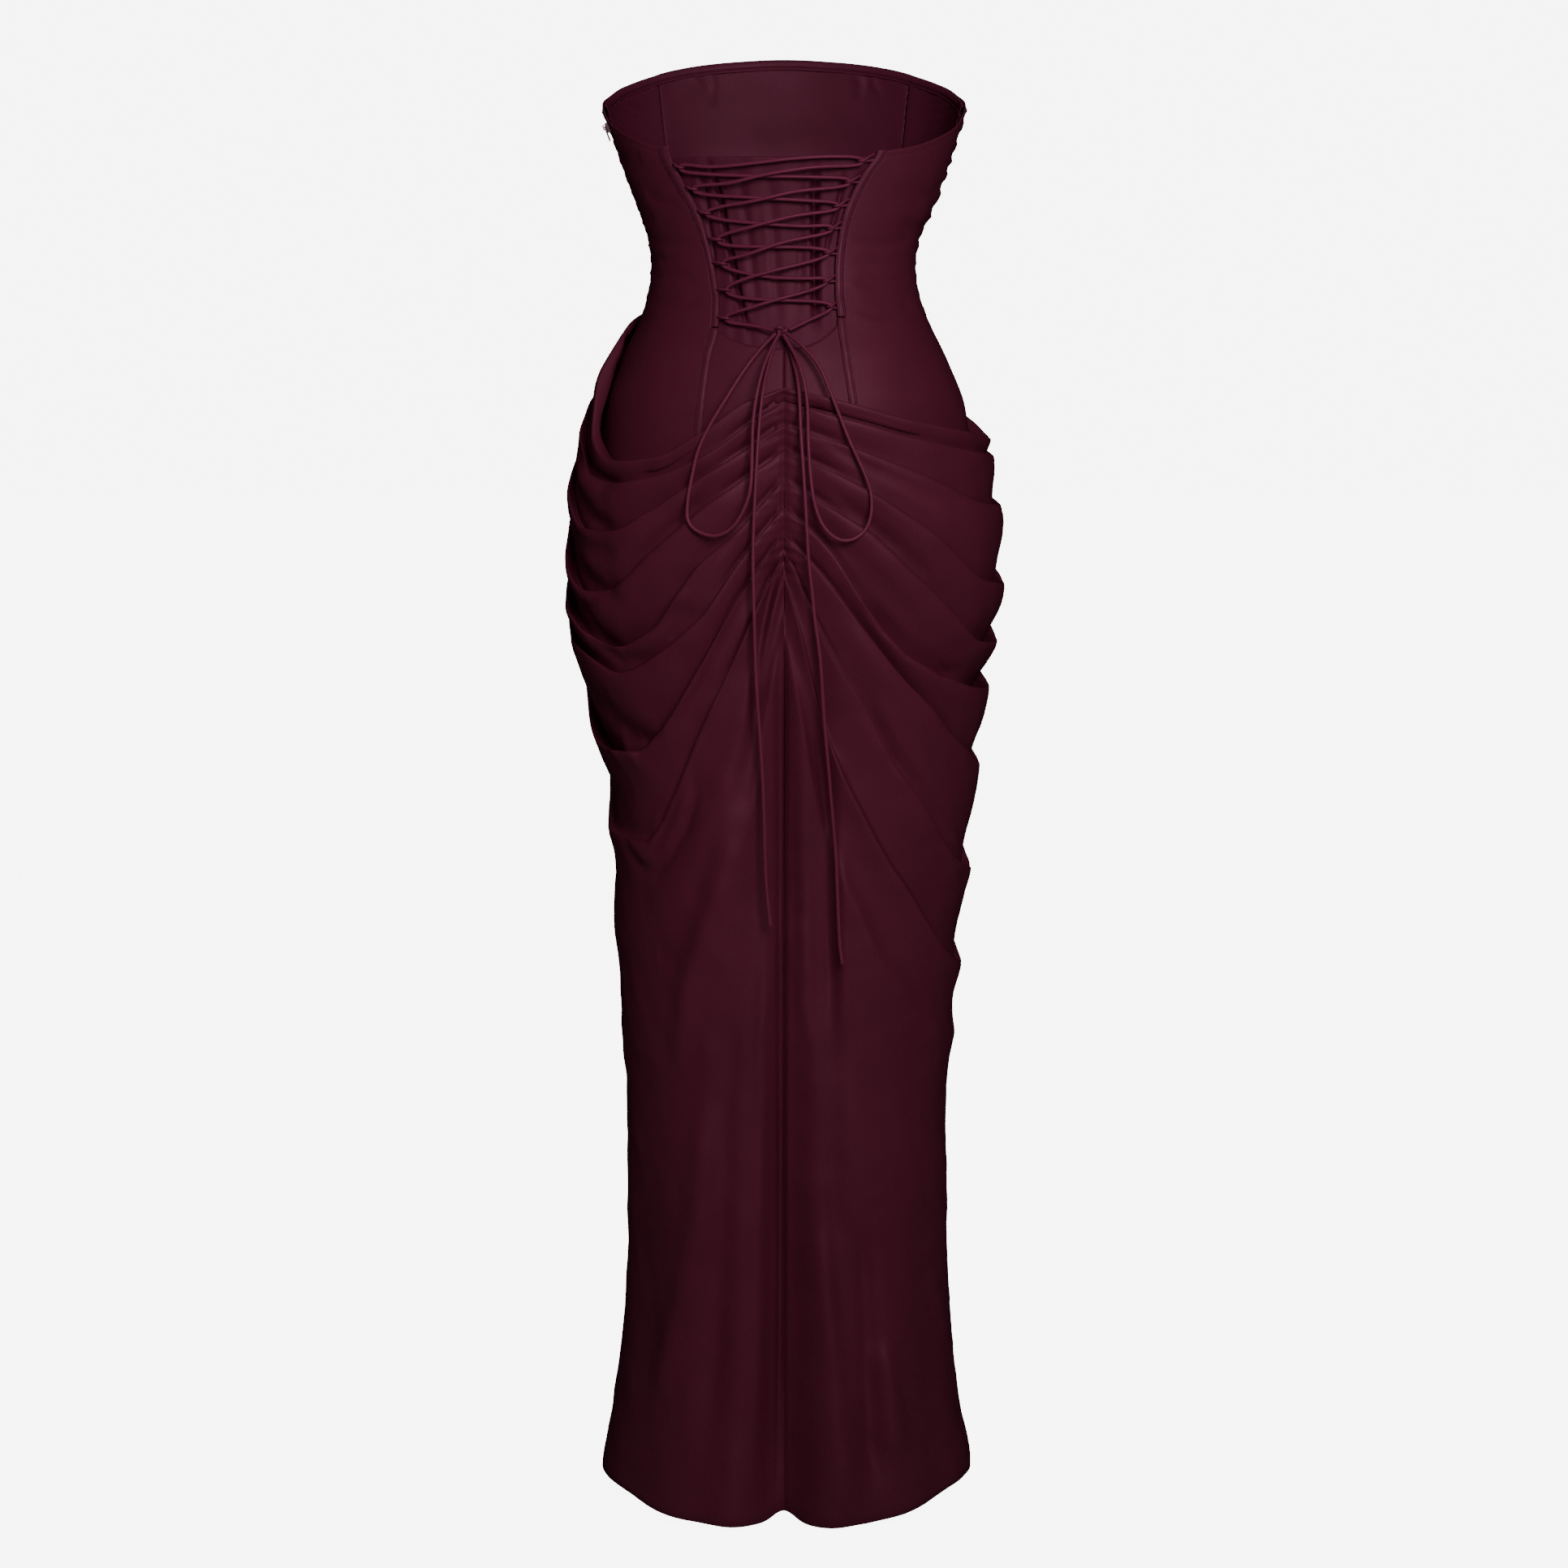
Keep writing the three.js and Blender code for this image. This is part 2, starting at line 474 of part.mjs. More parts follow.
function addBackSide(name, side) {
  const columns = 8;
  addWall(name, CASING_ROWS + BELOW_ROWS - 1, columns, (row, column) => {
    const share = 1 - Math.pow(1 - column / (columns - 1), 1.3);
    const seamAngle = angleAt(BODICE_FORM, sideEdge(side, CASING_TOP), CASING_TOP);
    const rough = backHeight(side, mix(seamAngle, side.own * LEFT_SIDE, share), row);
    const angle = mix(angleAt(BODICE_FORM, sideEdge(side, rough), rough), side.own * LEFT_SIDE, share);
    const z = column === 0 ? rough : backHeight(side, angle, row);
    const pair = [onForm(BODICE_FORM, angle, z, 0), onForm(BODICE_FORM, angle, z, -PANEL)];
    if (column === columns - 1) moveOffSeam(pair, angle, BACK_CENTRE);
    return pair;
  }, SATIN);
}
addBackSide('back_side_left', SIDES.left);
addBackSide('back_side_right', SIDES.right);

// A strip three points wide with a slight crown, between two edges given as X by height
const STRIP_CROWN = 0.5;
function addStrip(name, heights, edges, from, to, finish) {
  addWall(name, heights.length, 3, (row, column) => {
    const z = heights[row];
    const x = mix(edges(z)[0], edges(z)[1], column / 2);
    const angle = angleAt(BODICE_FORM, x, z);
    const crown = column === 1 ? STRIP_CROWN : 0;
    return [onForm(BODICE_FORM, angle, z, to + crown), onForm(BODICE_FORM, angle, z, from)];
  }, finish);
}
function addCasing(name, side) {
  const seamAngle = angleAt(BODICE_FORM, sideEdge(side, CASING_TOP), CASING_TOP);
  const heights = Array.from({ length: CASING_ROWS }, (_, row) => backHeight(side, seamAngle, row));
  const edges = (z) => [along(side.casing, 'z', 'inner', z), along(side.casing, 'z', 'outer', z)];
  addStrip(name, heights, edges, -PANEL, CASING_RISE, SATIN);
}
addCasing('casing_left', SIDES.left);
addCasing('casing_right', SIDES.right);

const CHANNEL_FACE = 0.9;     // clear of the panels' flat facets
function addChannel(name, side, end) {
  const heights = evenly(side.below[0].z - CHANNEL_FACE, end, 6);
  const edges = (z) => {
    const middle = along(side.below, 'z', 'x', z);
    return [middle - CHANNEL_HALF, middle + CHANNEL_HALF];
  };
  addStrip(name, heights, edges, CHANNEL_FACE, CHANNEL_FACE + CASING_RISE, SATIN);
}
addChannel('channel_lower_left', SIDES.left, -145);
addChannel('channel_lower_right', SIDES.right, -122);

// The panels below the lacing start on a shallow curve from the casings' ends to the centre back
function addBackCentre(name, side) {
  const cornerZ = side.below[0].z - SEAM_GAP;
  const columns = 5;
  addWall(name, BELOW_ROWS, columns, (row, column) => {
    const share = column / (columns - 1);
    const top = mix(TOP_OF_V, cornerZ, Math.pow(share, 2.4));
    const z = mix(top, BASQUE_END, row / (BELOW_ROWS - 1));
    const x = mix(0, seamUnder(side, z) - side.own * HALF_GAP, share);
    const angle = angleAt(BODICE_FORM, x, z);
    const pair = [onForm(BODICE_FORM, angle, z, 0), onForm(BODICE_FORM, angle, z, -PANEL)];
    if (column === 0) pair.forEach((point) => { point[0] += side.own * HALF_GAP; });
    return pair;
  }, SATIN);
}
addBackCentre('back_centre_left', SIDES.left);
addBackCentre('back_centre_right', SIDES.right);

// The modesty panel hangs behind the lacing in soft upright folds, tucked under the casings
const MODESTY_FACE = -PANEL - SEAM_GAP - 1.2;
const MODESTY_WALL = 1.2;
const MODESTY_FOLD = 1.4;
const MODESTY_COLUMNS = 13;
const MODESTY_TUCK = 5;
const MODESTY_ROWS = 8;
addWall('modesty_panel', MODESTY_ROWS, MODESTY_COLUMNS, (row, column) => {
  const share = column / (MODESTY_COLUMNS - 1);
  const z = mix(91.5, TOP_OF_V - 16, row / (MODESTY_ROWS - 1));
  const leftX = along(CASING_LEFT, 'z', 'inner', z) + MODESTY_TUCK;
  const rightX = along(CASING_RIGHT, 'z', 'inner', z) - MODESTY_TUCK;
  const x = mix(leftX, rightX, share);
  const out = MODESTY_FACE - (column % 2) * MODESTY_FOLD;
  const angle = angleAt(BODICE_FORM, x, z);
  return [onForm(BODICE_FORM, angle, z, out), onForm(BODICE_FORM, angle, z, out - MODESTY_WALL)];
}, SATIN_INSIDE);

// A smooth curve that a cord follows, with one step between each two of its points
class Route extends THREE.CatmullRomCurve3 {
  constructor(points) {
    super(points.map((point) => new THREE.Vector3(...point)), false, 'centripetal');
  }

  getUtoTmapping(u) {
    return u;
  }
}

// A round cord through its points
function cordGeometry(points, width, sides = 8) {
  const section = new THREE.Shape();
  for (let side = 0; side < sides; side += 1) {
    const turn = (side / sides) * 2 * Math.PI;
    const x = Math.cos(turn) * width / 2;
    const y = Math.sin(turn) * width / 2;
    if (side === 0) section.moveTo(x, y);
    else section.lineTo(x, y);
  }
  section.closePath();
  const steps = points.length - 1;
  return new THREE.ExtrudeGeometry(section, { steps, bevelEnabled: false, extrudePath: new Route(points) });
}

// Each loop is a cord bent round the lace, with both ends at the casing's edge
const LACE_OUT = 2;           // height of the lace's middle over the form where it passes a loop
const LOOP_REACH = LACE_WIDTH / 2 + LOOP_WIDTH / 2 + 0.6;
const LOOP_MIDDLE = 0.35;     // share of the way from the root to the turn
const LOOP_SHOULDER = 0.72;   // share of the reach beside the tip
const LOOP_TIP_BACK = 0.7;    // the shoulders lie this far back from the tip
function addLoop(name, loop) {
  const own = Math.sign(loop.rootX);
  const place = (x, z, out) => onForm(BODICE_FORM, angleAt(BODICE_FORM, x, z), z, out);
  const turnX = loop.tipX + own * LOOP_REACH;
  const middleX = mix(loop.rootX, turnX, LOOP_MIDDLE);
  const middleZ = mix(loop.rootZ, loop.tipZ, LOOP_MIDDLE);
  const rootX = loop.rootX - own * LOOP_WIDTH / 2;
  const points = [
    place(rootX, loop.rootZ, LACE_OUT - LOOP_WIDTH),
    place(middleX, middleZ, LACE_OUT - LOOP_REACH * 0.8),
    place(turnX, loop.tipZ, LACE_OUT - LOOP_REACH),
    place(loop.tipX + own * LOOP_TIP_BACK, loop.tipZ, LACE_OUT - LOOP_REACH * LOOP_SHOULDER),
    place(loop.tipX - own * 0.1, loop.tipZ, LACE_OUT),
    place(loop.tipX + own * LOOP_TIP_BACK, loop.tipZ, LACE_OUT + LOOP_REACH * LOOP_SHOULDER),
    place(turnX, loop.tipZ, LACE_OUT + LOOP_REACH),
    place(middleX, middleZ, LACE_OUT + LOOP_REACH * 0.8),
    place(rootX, loop.rootZ, LACE_OUT + LOOP_WIDTH * 0.6),
  ];
  add(name, cordGeometry(points, LOOP_WIDTH, 6), LACE_SATIN);
}
LOOPS_LEFT.forEach((loop, index) => addLoop(`loop_left_${index + 1}`, loop));
LOOPS_RIGHT.forEach((loop, index) => addLoop(`loop_right_${index + 1}`, loop));

// The lace: up one side of the lacing and down the other, over itself where the strands cross
const LACE = [
  [9.3, 104.5, -60.5], [28, 98.5, -56], [50.5, 92, -52.2], [50.5, 91, -47.8], [34, 95.5, -42], [6.5, 96, -33.5],
  [-37, 85.5, -19.7], [-37, 85, -15.3], [-19.5, 87.5, -15], [16, 87.5, -13.5], [53.5, 79.5, -4.2],
  [53.5, 79, 0.2], [35, 86, 5], [-2, 89, 17.5], [-41.5, 81.5, 26.3], [-41.5, 81.5, 30.7], [-19.5, 84.5, 30.5],
  [16, 85, 32.5], [67.5, 75, 39.8], [67.5, 75, 44.2], [24.5, 88, 52.5], [-11, 88.5, 61], [-57, 80.5, 66.8],
  [-57, 80.5, 71.2], [-32.5, 85, 73], [24.5, 85.5, 74], [67, 78.5, 76], [91, 70.5, 79.8], [91, 71, 84.2],
  [66, 79.5, 82], [31.5, 86, 84.5], [-7.5, 87.5, 89], [-46.5, 84.5, 91], [-68, 79.5, 89.2], [-68, 79.5, 84.8],
  [-28.5, 88, 82], [17.5, 90, 75], [49.5, 84.5, 67.5], [79, 73, 65.2], [79, 72.5, 60.8], [28, 84, 55.5],
  [-25, 84.5, 52.5], [-47, 81, 50.2], [-47, 81, 45.8], [-11, 88, 40], [28, 87.5, 30], [57.5, 77, 21.2],
  [57.5, 77, 16.8], [44.5, 81, 13.5], [7, 85.5, 12.5], [-38.5, 82, 9.7], [-38.5, 82.5, 5.3], [7, 90.5, -7.5],
  [37.5, 87.5, -16.5], [50, 83.5, -22.8], [50, 84.5, -27.2], [39, 88.5, -31.5], [7, 92.5, -34],
  [-41, 90, -37.3], [-41, 91, -41.7], [-25, 96.5, -50], [-4.4, 104, -60],
];
const BOW_LEFT = [
  [7.6, 107, -63.3], [18, 113, -74], [33, 119.5, -92.5], [51, 126, -120.5], [67, 127.5, -147], [75.5, 127, -166.5],
  [81, 128, -191], [84, 129, -208.5], [84, 130, -224.5], [79, 132.5, -232], [70.5, 134.5, -236.5],
  [61.5, 136.5, -238.5], [51, 138.5, -235.5], [42, 140.5, -227.5], [34, 142, -213.5], [29.5, 142, -199.5],
  [28, 140, -178.5], [27, 136, -140], [23, 130, -112], [15.5, 120.5, -85.5], [4.7, 108.9, -64.1],
];
const BOW_RIGHT = [
  [-2.6, 107.1, -63.1], [-14.5, 113.5, -72.5], [-30.5, 120, -91], [-41, 125, -115.5], [-57, 130, -156],
  [-67.5, 130.5, -178.5], [-74.5, 131, -196.5], [-76.5, 132, -214], [-73, 134, -229.5], [-65.5, 136, -238.5],
  [-55, 138, -242.5], [-44.5, 139.5, -240], [-34, 140, -229.5], [-27, 139.5, -212], [-23.5, 138, -191],
  [-21, 134, -155.5], [-20, 128.5, -120.5], [-13, 119.5, -89], [0.3, 108.9, -64.1],
];
const TAIL_LEFT = [
  [4.9, 103.6, -65.3], [11, 110, -82], [18, 124.5, -110], [22, 132, -147], [24, 136, -178.5], [26, 139, -217],
  [27, 141, -252.5], [26.5, 141.5, -287.5], [26, 141, -308.5], [24.5, 138.5, -362], [21, 133, -416],
  [18, 129, -470], [16, 126, -542.5], [12, 125, -582.5],
];
const TAIL_RIGHT = [
  [0.1, 103.6, -65.3], [-6.5, 109.5, -82], [-12.5, 123, -107], [-14.5, 132.5, -147], [-17.5, 137.5, -191],
  [-19.5, 140.5, -226], [-21.5, 142, -261], [-24.5, 142, -287.5], [-27, 141.5, -312.5], [-31.5, 139.5, -344.5],
  [-35, 133.5, -398], [-39, 129, -443], [-43, 126, -488.5], [-46, 123.5, -524.5], [-49, 121.5, -597.5],
  [-51.5, 120.5, -617],
];
add('lace', cordGeometry(LACE, LACE_WIDTH), LACE_SATIN);
add('bow_loop_left', cordGeometry(BOW_LEFT, LACE_WIDTH), LACE_SATIN);
add('bow_loop_right', cordGeometry(BOW_RIGHT, LACE_WIDTH), LACE_SATIN);
add('tail_left', cordGeometry(TAIL_LEFT, LACE_WIDTH), LACE_SATIN);
add('tail_right', cordGeometry(TAIL_RIGHT, LACE_WIDTH), LACE_SATIN);

const KNOT = { x: 2.5, y: 105.5, z: -60.5, radius: 5, wide: 1.2, tall: 0.92 };
const knot = new THREE.SphereGeometry(KNOT.radius, 10, 8);
knot.scale(KNOT.wide, 1, KNOT.tall);
knot.translate(KNOT.x, KNOT.y, KNOT.z);
add('lace_knot', knot, LACE_SATIN);

// Zip: local X points out of the cloth, local Z is up
const wasm = await Module();
wasm.setup();

function solidFrom(geometry) {
  const plain = geometry.clone();
  plain.deleteAttribute('normal');
  plain.deleteAttribute('uv');
  const merged = mergeVertices(plain);
  const vertProperties = merged.getAttribute('position').array;
  const triVerts = new Uint32Array(merged.getIndex().array);
  return new wasm.Manifold(new wasm.Mesh({ numProp: 3, vertProperties, triVerts }));
}

function geometryFrom(solid) {
  const { vertProperties, triVerts } = solid.getMesh();
  const geometry = new THREE.BufferGeometry();
  geometry.setAttribute('position', new THREE.BufferAttribute(vertProperties, 3));
  geometry.setIndex(new THREE.BufferAttribute(triVerts, 1));
  geometry.computeVertexNormals();
  return geometry;
}

function block(fromX, toX, wide, fromZ, toZ) {
  const box = new THREE.BoxGeometry(toX - fromX, wide, toZ - fromZ);
  box.translate((fromX + toX) / 2, 0, (fromZ + toZ) / 2);
  return solidFrom(box);
}

const zipPlace = onForm(BODICE_FORM, ZIP_ANGLE, ZIP_HEIGHT, 0);
const zipOut = onForm(BODICE_FORM, ZIP_ANGLE, ZIP_HEIGHT, 1);
const zipAbove = onForm(BODICE_FORM, ZIP_ANGLE, ZIP_HEIGHT + SLIDER.tall, 0);
const zipHeading = Math.atan2(zipOut[1] - zipPlace[1], zipOut[0] - zipPlace[0]);
const zipLean = Math.atan2(zipAbove[0] - zipPlace[0], SLIDER.tall);
function placeZip(mesh) {
  mesh.position.set(...zipPlace);
  mesh.rotation.set(0, zipLean, zipHeading, 'ZYX');
}

const faceX = SLIDER.lift + SLIDER.thick;
const bridgeX = faceX + BRIDGE.inside;
const bridge = block(faceX - 1, bridgeX + BRIDGE.thick, BRIDGE.wide, BRIDGE.bottom, BRIDGE.top)
  .subtract(block(faceX, bridgeX, SLIDER.wide, BRIDGE.bottom + BRIDGE.leg, BRIDGE.top - BRIDGE.leg));
const sliderBody = block(SLIDER.lift, faceX, SLIDER.wide, -SLIDER.tall / 2, SLIDER.tall / 2);
placeZip(add('zip_slider', geometryFrom(sliderBody.add(bridge)), DARK_METAL));

const barX = faceX + BRIDGE.inside / 2;
const barTop = PULL.barHeight + PULL.bar / 2;
const windowTop = barTop - PULL.bar;
const tab = block(barX - PULL.thick / 2, barX + PULL.thick / 2, PULL.wide, barTop - PULL.long, barTop)
  .subtract(block(barX - 1, barX + 1, PULL.windowWide, windowTop - PULL.window, windowTop));
placeZip(add('zip_pull', geometryFrom(tab), DARK_METAL));

export default dress;
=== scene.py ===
"""A strapless ruched maxi dress with a lace-up back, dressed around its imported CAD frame.

The tables are in millimetres and degrees, as in the part's source: +Z up, the back faces +Y, the
wearer's left is +X, and angles run from the centre back toward the wearer's left. Meshes are in metres.
"""

import math
from contextlib import contextmanager

import bpy
import numpy as np
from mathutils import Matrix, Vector


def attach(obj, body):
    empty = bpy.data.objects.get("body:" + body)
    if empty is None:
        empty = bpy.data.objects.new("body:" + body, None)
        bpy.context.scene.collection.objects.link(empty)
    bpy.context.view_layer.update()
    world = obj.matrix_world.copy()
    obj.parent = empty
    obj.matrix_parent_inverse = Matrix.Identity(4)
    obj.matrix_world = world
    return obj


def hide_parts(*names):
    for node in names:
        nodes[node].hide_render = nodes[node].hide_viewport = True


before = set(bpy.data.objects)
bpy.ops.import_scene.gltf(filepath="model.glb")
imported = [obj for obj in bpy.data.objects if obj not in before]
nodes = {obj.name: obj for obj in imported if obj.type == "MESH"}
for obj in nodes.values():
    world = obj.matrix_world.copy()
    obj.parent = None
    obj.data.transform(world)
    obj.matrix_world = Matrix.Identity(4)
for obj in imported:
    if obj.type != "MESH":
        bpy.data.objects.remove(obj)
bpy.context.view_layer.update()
bpy.ops.object.select_all(action="DESELECT")

MM = 0.001
BODY = "dress"

# Camera at the photograph's place: level with the bodice, looking a little down
LENS = 88.62
SENSOR = 36
CAMERA_PLACE = (0, 3.5, -0.102)
CAMERA_TILT = 84
camera_data = bpy.data.cameras.new("camera")
camera_data.lens = LENS
camera_data.sensor_width = SENSOR
camera = bpy.data.objects.new("camera", camera_data)
camera.location = CAMERA_PLACE
camera.rotation_euler = (math.radians(CAMERA_TILT), 0, math.radians(180))
bpy.context.scene.collection.objects.link(camera)
bpy.context.scene.camera = camera

# Driving sizes, shared with the part's source
BASQUE_END = -215                       # the bodice's lower end, under the drape
HEM = -1120
BAND_HEIGHT = 8
ROUNDNESS = 2.2                         # power of the level sections: 2 is an ellipse
LACE_WIDTH = 3.2
LOOP_WIDTH = 2.0
PANEL = 1.8                             # wall of a bodice panel
FULL_TURN = 360
LEFT_SIDE = 90
FRONT_CENTRE = 180
RIGHT_SIDE = 270

# Thickness of the cloth shells, and how far an edge runs past its seam, so that no light shows there
SKIRT_CLOTH = 0.9
BODICE_CLOTH = 0.8
THIN_CLOTH = 0.7
NARROW_CLOTH = 0.6
PAST_EDGE = 0.15

# Half width left and right, depth back and front, by height
BODICE_FORM = [
    (205, 163, 163, 88, 118), (143, 163, 163, 88, 118), (108, 152, 154, 86, 120), (87, 145, 147, 85, 118),
    (44, 129, 131, 83, 108), (22, 122, 121, 83, 100), (0, 119, 118, 84, 94), (-21, 121, 120, 87, 93),
    (-43, 127, 127, 93, 96), (-87, 147, 148, 107, 103), (-130, 162, 164, 116, 107),
    (-220, 172, 173, 118, 108),
]
SKIRT_FORM = [
    (-38, 132, 132, 101, 104), (-54, 141, 141, 106, 110), (-76, 155, 152, 112, 114),
    (-98, 168, 164, 119, 118), (-141, 182, 182, 129, 124), (-170, 189, 189, 132, 127),
    (-207, 196, 194, 136, 130), (-240, 197, 200, 138, 131), (-306, 198, 199, 139, 130),
    (-358, 189, 189, 136, 127), (-406, 179, 184, 131, 124), (-440, 170, 179, 128, 122),
    (-471, 162, 178, 126, 121), (-555, 158, 170, 122, 118), (-680, 150, 158, 120, 115),
    (-743, 146, 152, 119, 114), (-880, 144, 150, 122, 116), (-948, 147, 153, 128, 119),
    (-1040, 158, 162, 138, 126), (-1100, 169, 173, 147, 131), (-1125, 172, 172, 150, 133),
]
TOP_EDGE = [
    (0, 92), (30, 96), (47, 101.5), (59, 109), (75, 121), (82, 131), (90, 142), (105, 151.5), (114, 159),
    (124, 166), (133, 172), (140, 177), (154, 184), (165, 187.5), (180, 190),
]

# Fold lines of the drape: depth on the left and the right, and the crest's height at each station
STATIONS = [0, 10, 20, 35, 50, 65, 75, 90, 120, 180, 240, 270, 295, 325, 340, 350, 360]
FOLDS = [
    (7, 6,
     [-110, -124, -147, -170, -173, -158, -105, -52, -40, -80, -128, -157, -150, -137, -126, -118, -110]),
    (8, 7,
     [-122, -146, -169, -188, -195, -189, -172, -138, -80, -112, -152, -172, -167, -154, -141, -132, -122]),
    (10, 9,
     [-143, -167, -188, -217, -235, -235, -220, -192, -118, -155, -196, -216, -211, -183, -166, -155, -143]),
    (13, 12,
     [-166, -192, -216, -255, -288, -291, -281, -260, -160, -205, -254, -287, -282, -228, -198, -181, -166]),
    (8, 20,
     [-191, -234, -264, -322, -338, -328, -314, -300, -205, -258, -310, -338, -334, -278, -236, -214, -191]),
    (14, 10,
     [-215, -263, -312, -345, -360, -348, -340, -332, -250, -306, -356, -380, -376, -345, -303, -252, -215]),
    (11, 12,
     [-239, -294, -350, -408, -431, -431, -429, -420, -310, -372, -422, -451, -432, -372, -325, -282, -239]),
    (8, 13,
     [-254, -336, -398, -468, -515, -513, -512, -505, -395, -455, -510, -548, -534, -455, -386, -338, -254]),
    (3, 8,
     [-274, -410, -480, -560, -590, -600, -605, -608, -500, -550, -600, -636, -620, -545, -480, -410, -274]),
    (1, 4,
     [-330, -500, -575, -650, -680, -690, -695, -700, -620, -650, -690, -700, -690, -640, -570, -500, -330]),
]
SOFTNESS_LEFT = [0, 0, 0, 0, 0, 0, 0.4, 1, 1, 1]     # 0 is a pleat with a pocket, 1 a soft wave
SOFTNESS_RIGHT = [0, 0, 0, 0, 0, 0, 0.25, 0.45, 0.8, 1]
EASE_LEFT = [1, 1, 1, 1, 1, 1, 0.8, 0.5, 0.8, 1]
EASE_RIGHT = [1, 1, 1, 1, 0.85, 1, 0.9, 0.7, 0.7, 0.8]
CENTRE_BACK_DEPTH = 4.8
FULL_DEPTH_ANGLE = 26

# Soft flutes down the skirt: angle at top and hem, start, full, depth there and at the hem, half width
FLUTES = [
    (0, 1, -60, -106, 5.1, 30, 9), (15, 24, -560, -760, 4, 6, 9), (349, 340, -330, -520, 6, 3, 5),
    (341, 333, -720, -900, 3, 5, 8), (60, 52, -640, -900, 3, 2, 11), (300, 306, -700, -900, 3, 2, 11),
    (128, 135, -560, -800, 5, 10, 10), (176, 180, -600, -820, 5, 12, 11),
    (230, 222, -620, -860, 5, 10, 10),
]

# Profile of one fold, from its crest to the pocket behind the next crest and up its inner face:
# share of the way down, share of the pocket's depth, share of the inward fall
FOLD_PROFILE = [
    (0, 0, 0.07), (0.015, 0, 0.0), (0.06, 0, -0.04), (0.14, 0, -0.03), (0.25, 0, 0.06), (0.38, 0, 0.2),
    (0.52, 0, 0.38), (0.66, 0, 0.58), (0.8, 0, 0.77), (0.92, 0, 0.9), (1, 0.3, 0.98), (1, 0.8, 1.02),
    (1, 1, 0.92), (1, 0.8, 0.66), (1, 0.4, 0.42), (1, 0.12, 0.24),
]

# Creases, given one by one: line of (angle, height), half width, depth of the trough, lean of one side
BACK_CREASES = [
    ([(92, -150), (77, -170), (65, -183), (55, -192), (46, -195)], 7, 5.0, -1.5),
    ([(88, -180), (75, -199), (67, -215), (59, -227), (49, -234)], 8, 4.6, -1.2),
    ([(88, -226), (74, -239), (66, -246), (58, -253), (46, -254)], 8, 4.2, -1.2),
    ([(86, -246), (73, -264), (67, -275), (56, -289), (42, -292)], 8, 4.8, -1.2),
    ([(82, -290), (66, -306), (60, -330), (49, -347), (33, -345)], 9, 4.6, -1.2),
    ([(82, -374), (64, -392), (55, -409), (41, -424)], 9, 4.2, -1.2),
    ([(51, -345), (35, -325), (22, -299)], 7, 2.6, 2.0),
    ([(0.9, -262), (1.1, -500), (1.2, -800), (1.6, -1119)], 3.0, 5.0, 1.4),
    ([(1.5, -245), (3, -285), (5.5, -340), (8.5, -420)], 4, 6.0, 2.0),
    ([(8, -309), (17, -381), (32, -454), (42, -493), (46, -514), (54, -520)], 9, 2.2, 3.2),
    ([(27, -446), (29, -472), (33, -499), (40, -524), (46, -536), (52, -534), (59, -522), (65, -509)],
     7, 1.6, 2.6),
    ([(47, -617), (41, -623), (35, -625)], 7, 0.9, 1.2),
    ([(12, -445), (17, -518), (22, -569), (31, -629), (39, -726)], 13, -4.4, 0),
    ([(25, -738), (30, -849), (39, -939), (49, -1038)], 17, -4.4, 0),
    ([(15, -627), (21, -774), (25, -1065)], 15, 4.8, 0),
    ([(4, -409), (5.5, -626), (7, -845), (8, -1119)], 8, -4.1, 0),
    ([(64, -426), (58, -438), (47, -432)], 9, -3.2, 0),
    ([(59, -418), (48, -424), (39, -415), (34, -402)], 5, 4.0, -1.5),
    ([(11, -236), (16, -253), (21, -270), (26, -287)], 4, 1.6, 1.0),
    ([(18, -196), (27, -225), (37, -248), (46, -261)], 5, 1.8, 1.6),
    ([(22, -299), (27, -317), (31, -328)], 4, 2.2, 1.6),
    ([(8, -210), (16, -240), (22, -260)], 4, 1.5, 1.2),
    ([(6, -262), (13, -318), (22, -372), (30, -405)], 6, 1.5, 2.0),
    ([(-3, -267), (-3, -409), (-5, -554), (-6, -699)], 8, -5.1, 0),
    ([(-7, -359), (-9, -438), (-12, -525), (-13, -598), (-15, -685)], 7, 5.1, 1.2),
    ([(-13, -400), (-14, -525), (-16, -612), (-18, -700)], 8, -4.1, 0),
    ([(-23, -370), (-33, -418), (-45, -456), (-71, -527), (-88, -546)], 9, -3.0, 1.5),
    ([(-11, -846), (-16, -991), (-19, -1121)], 14, -5.4, 0),
    ([(-26, -848), (-28, -958), (-27, -1101)], 12, 5.4, 0),
    ([(-33, -959), (-36, -1069)], 14, -5.1, 0),
    ([(-6, -154), (-19, -179), (-35, -202), (-59, -226)], 5, 1.3, 1.3),
    ([(-8, -196), (-20, -230), (-32, -260), (-43, -290)], 5, 1.6, 1.5),
    ([(-6, -224), (-16, -260), (-27, -296), (-38, -325)], 5, 1.6, 1.5),
    ([(-18, -298), (-25, -322), (-33, -343), (-47, -362), (-62, -366)], 4, 5.5, 2.2),
    ([(-12, -300), (-26, -352), (-44, -405), (-66, -430)], 7, 1.8, 1.8),
    ([(-18, -384), (-32, -440), (-52, -492), (-74, -520)], 8, 2.0, 2.2),
    ([(72, -205), (62, -213), (50, -208)], 5, 1.6, 1.2),
    ([(80, -300), (68, -309), (55, -300)], 6, 2.0, 1.4),
    ([(84, -380), (70, -392), (56, -384)], 6, 1.8, 1.2),
    ([(84, -468), (70, -478), (56, -470)], 7, 1.8, 1.4),
]
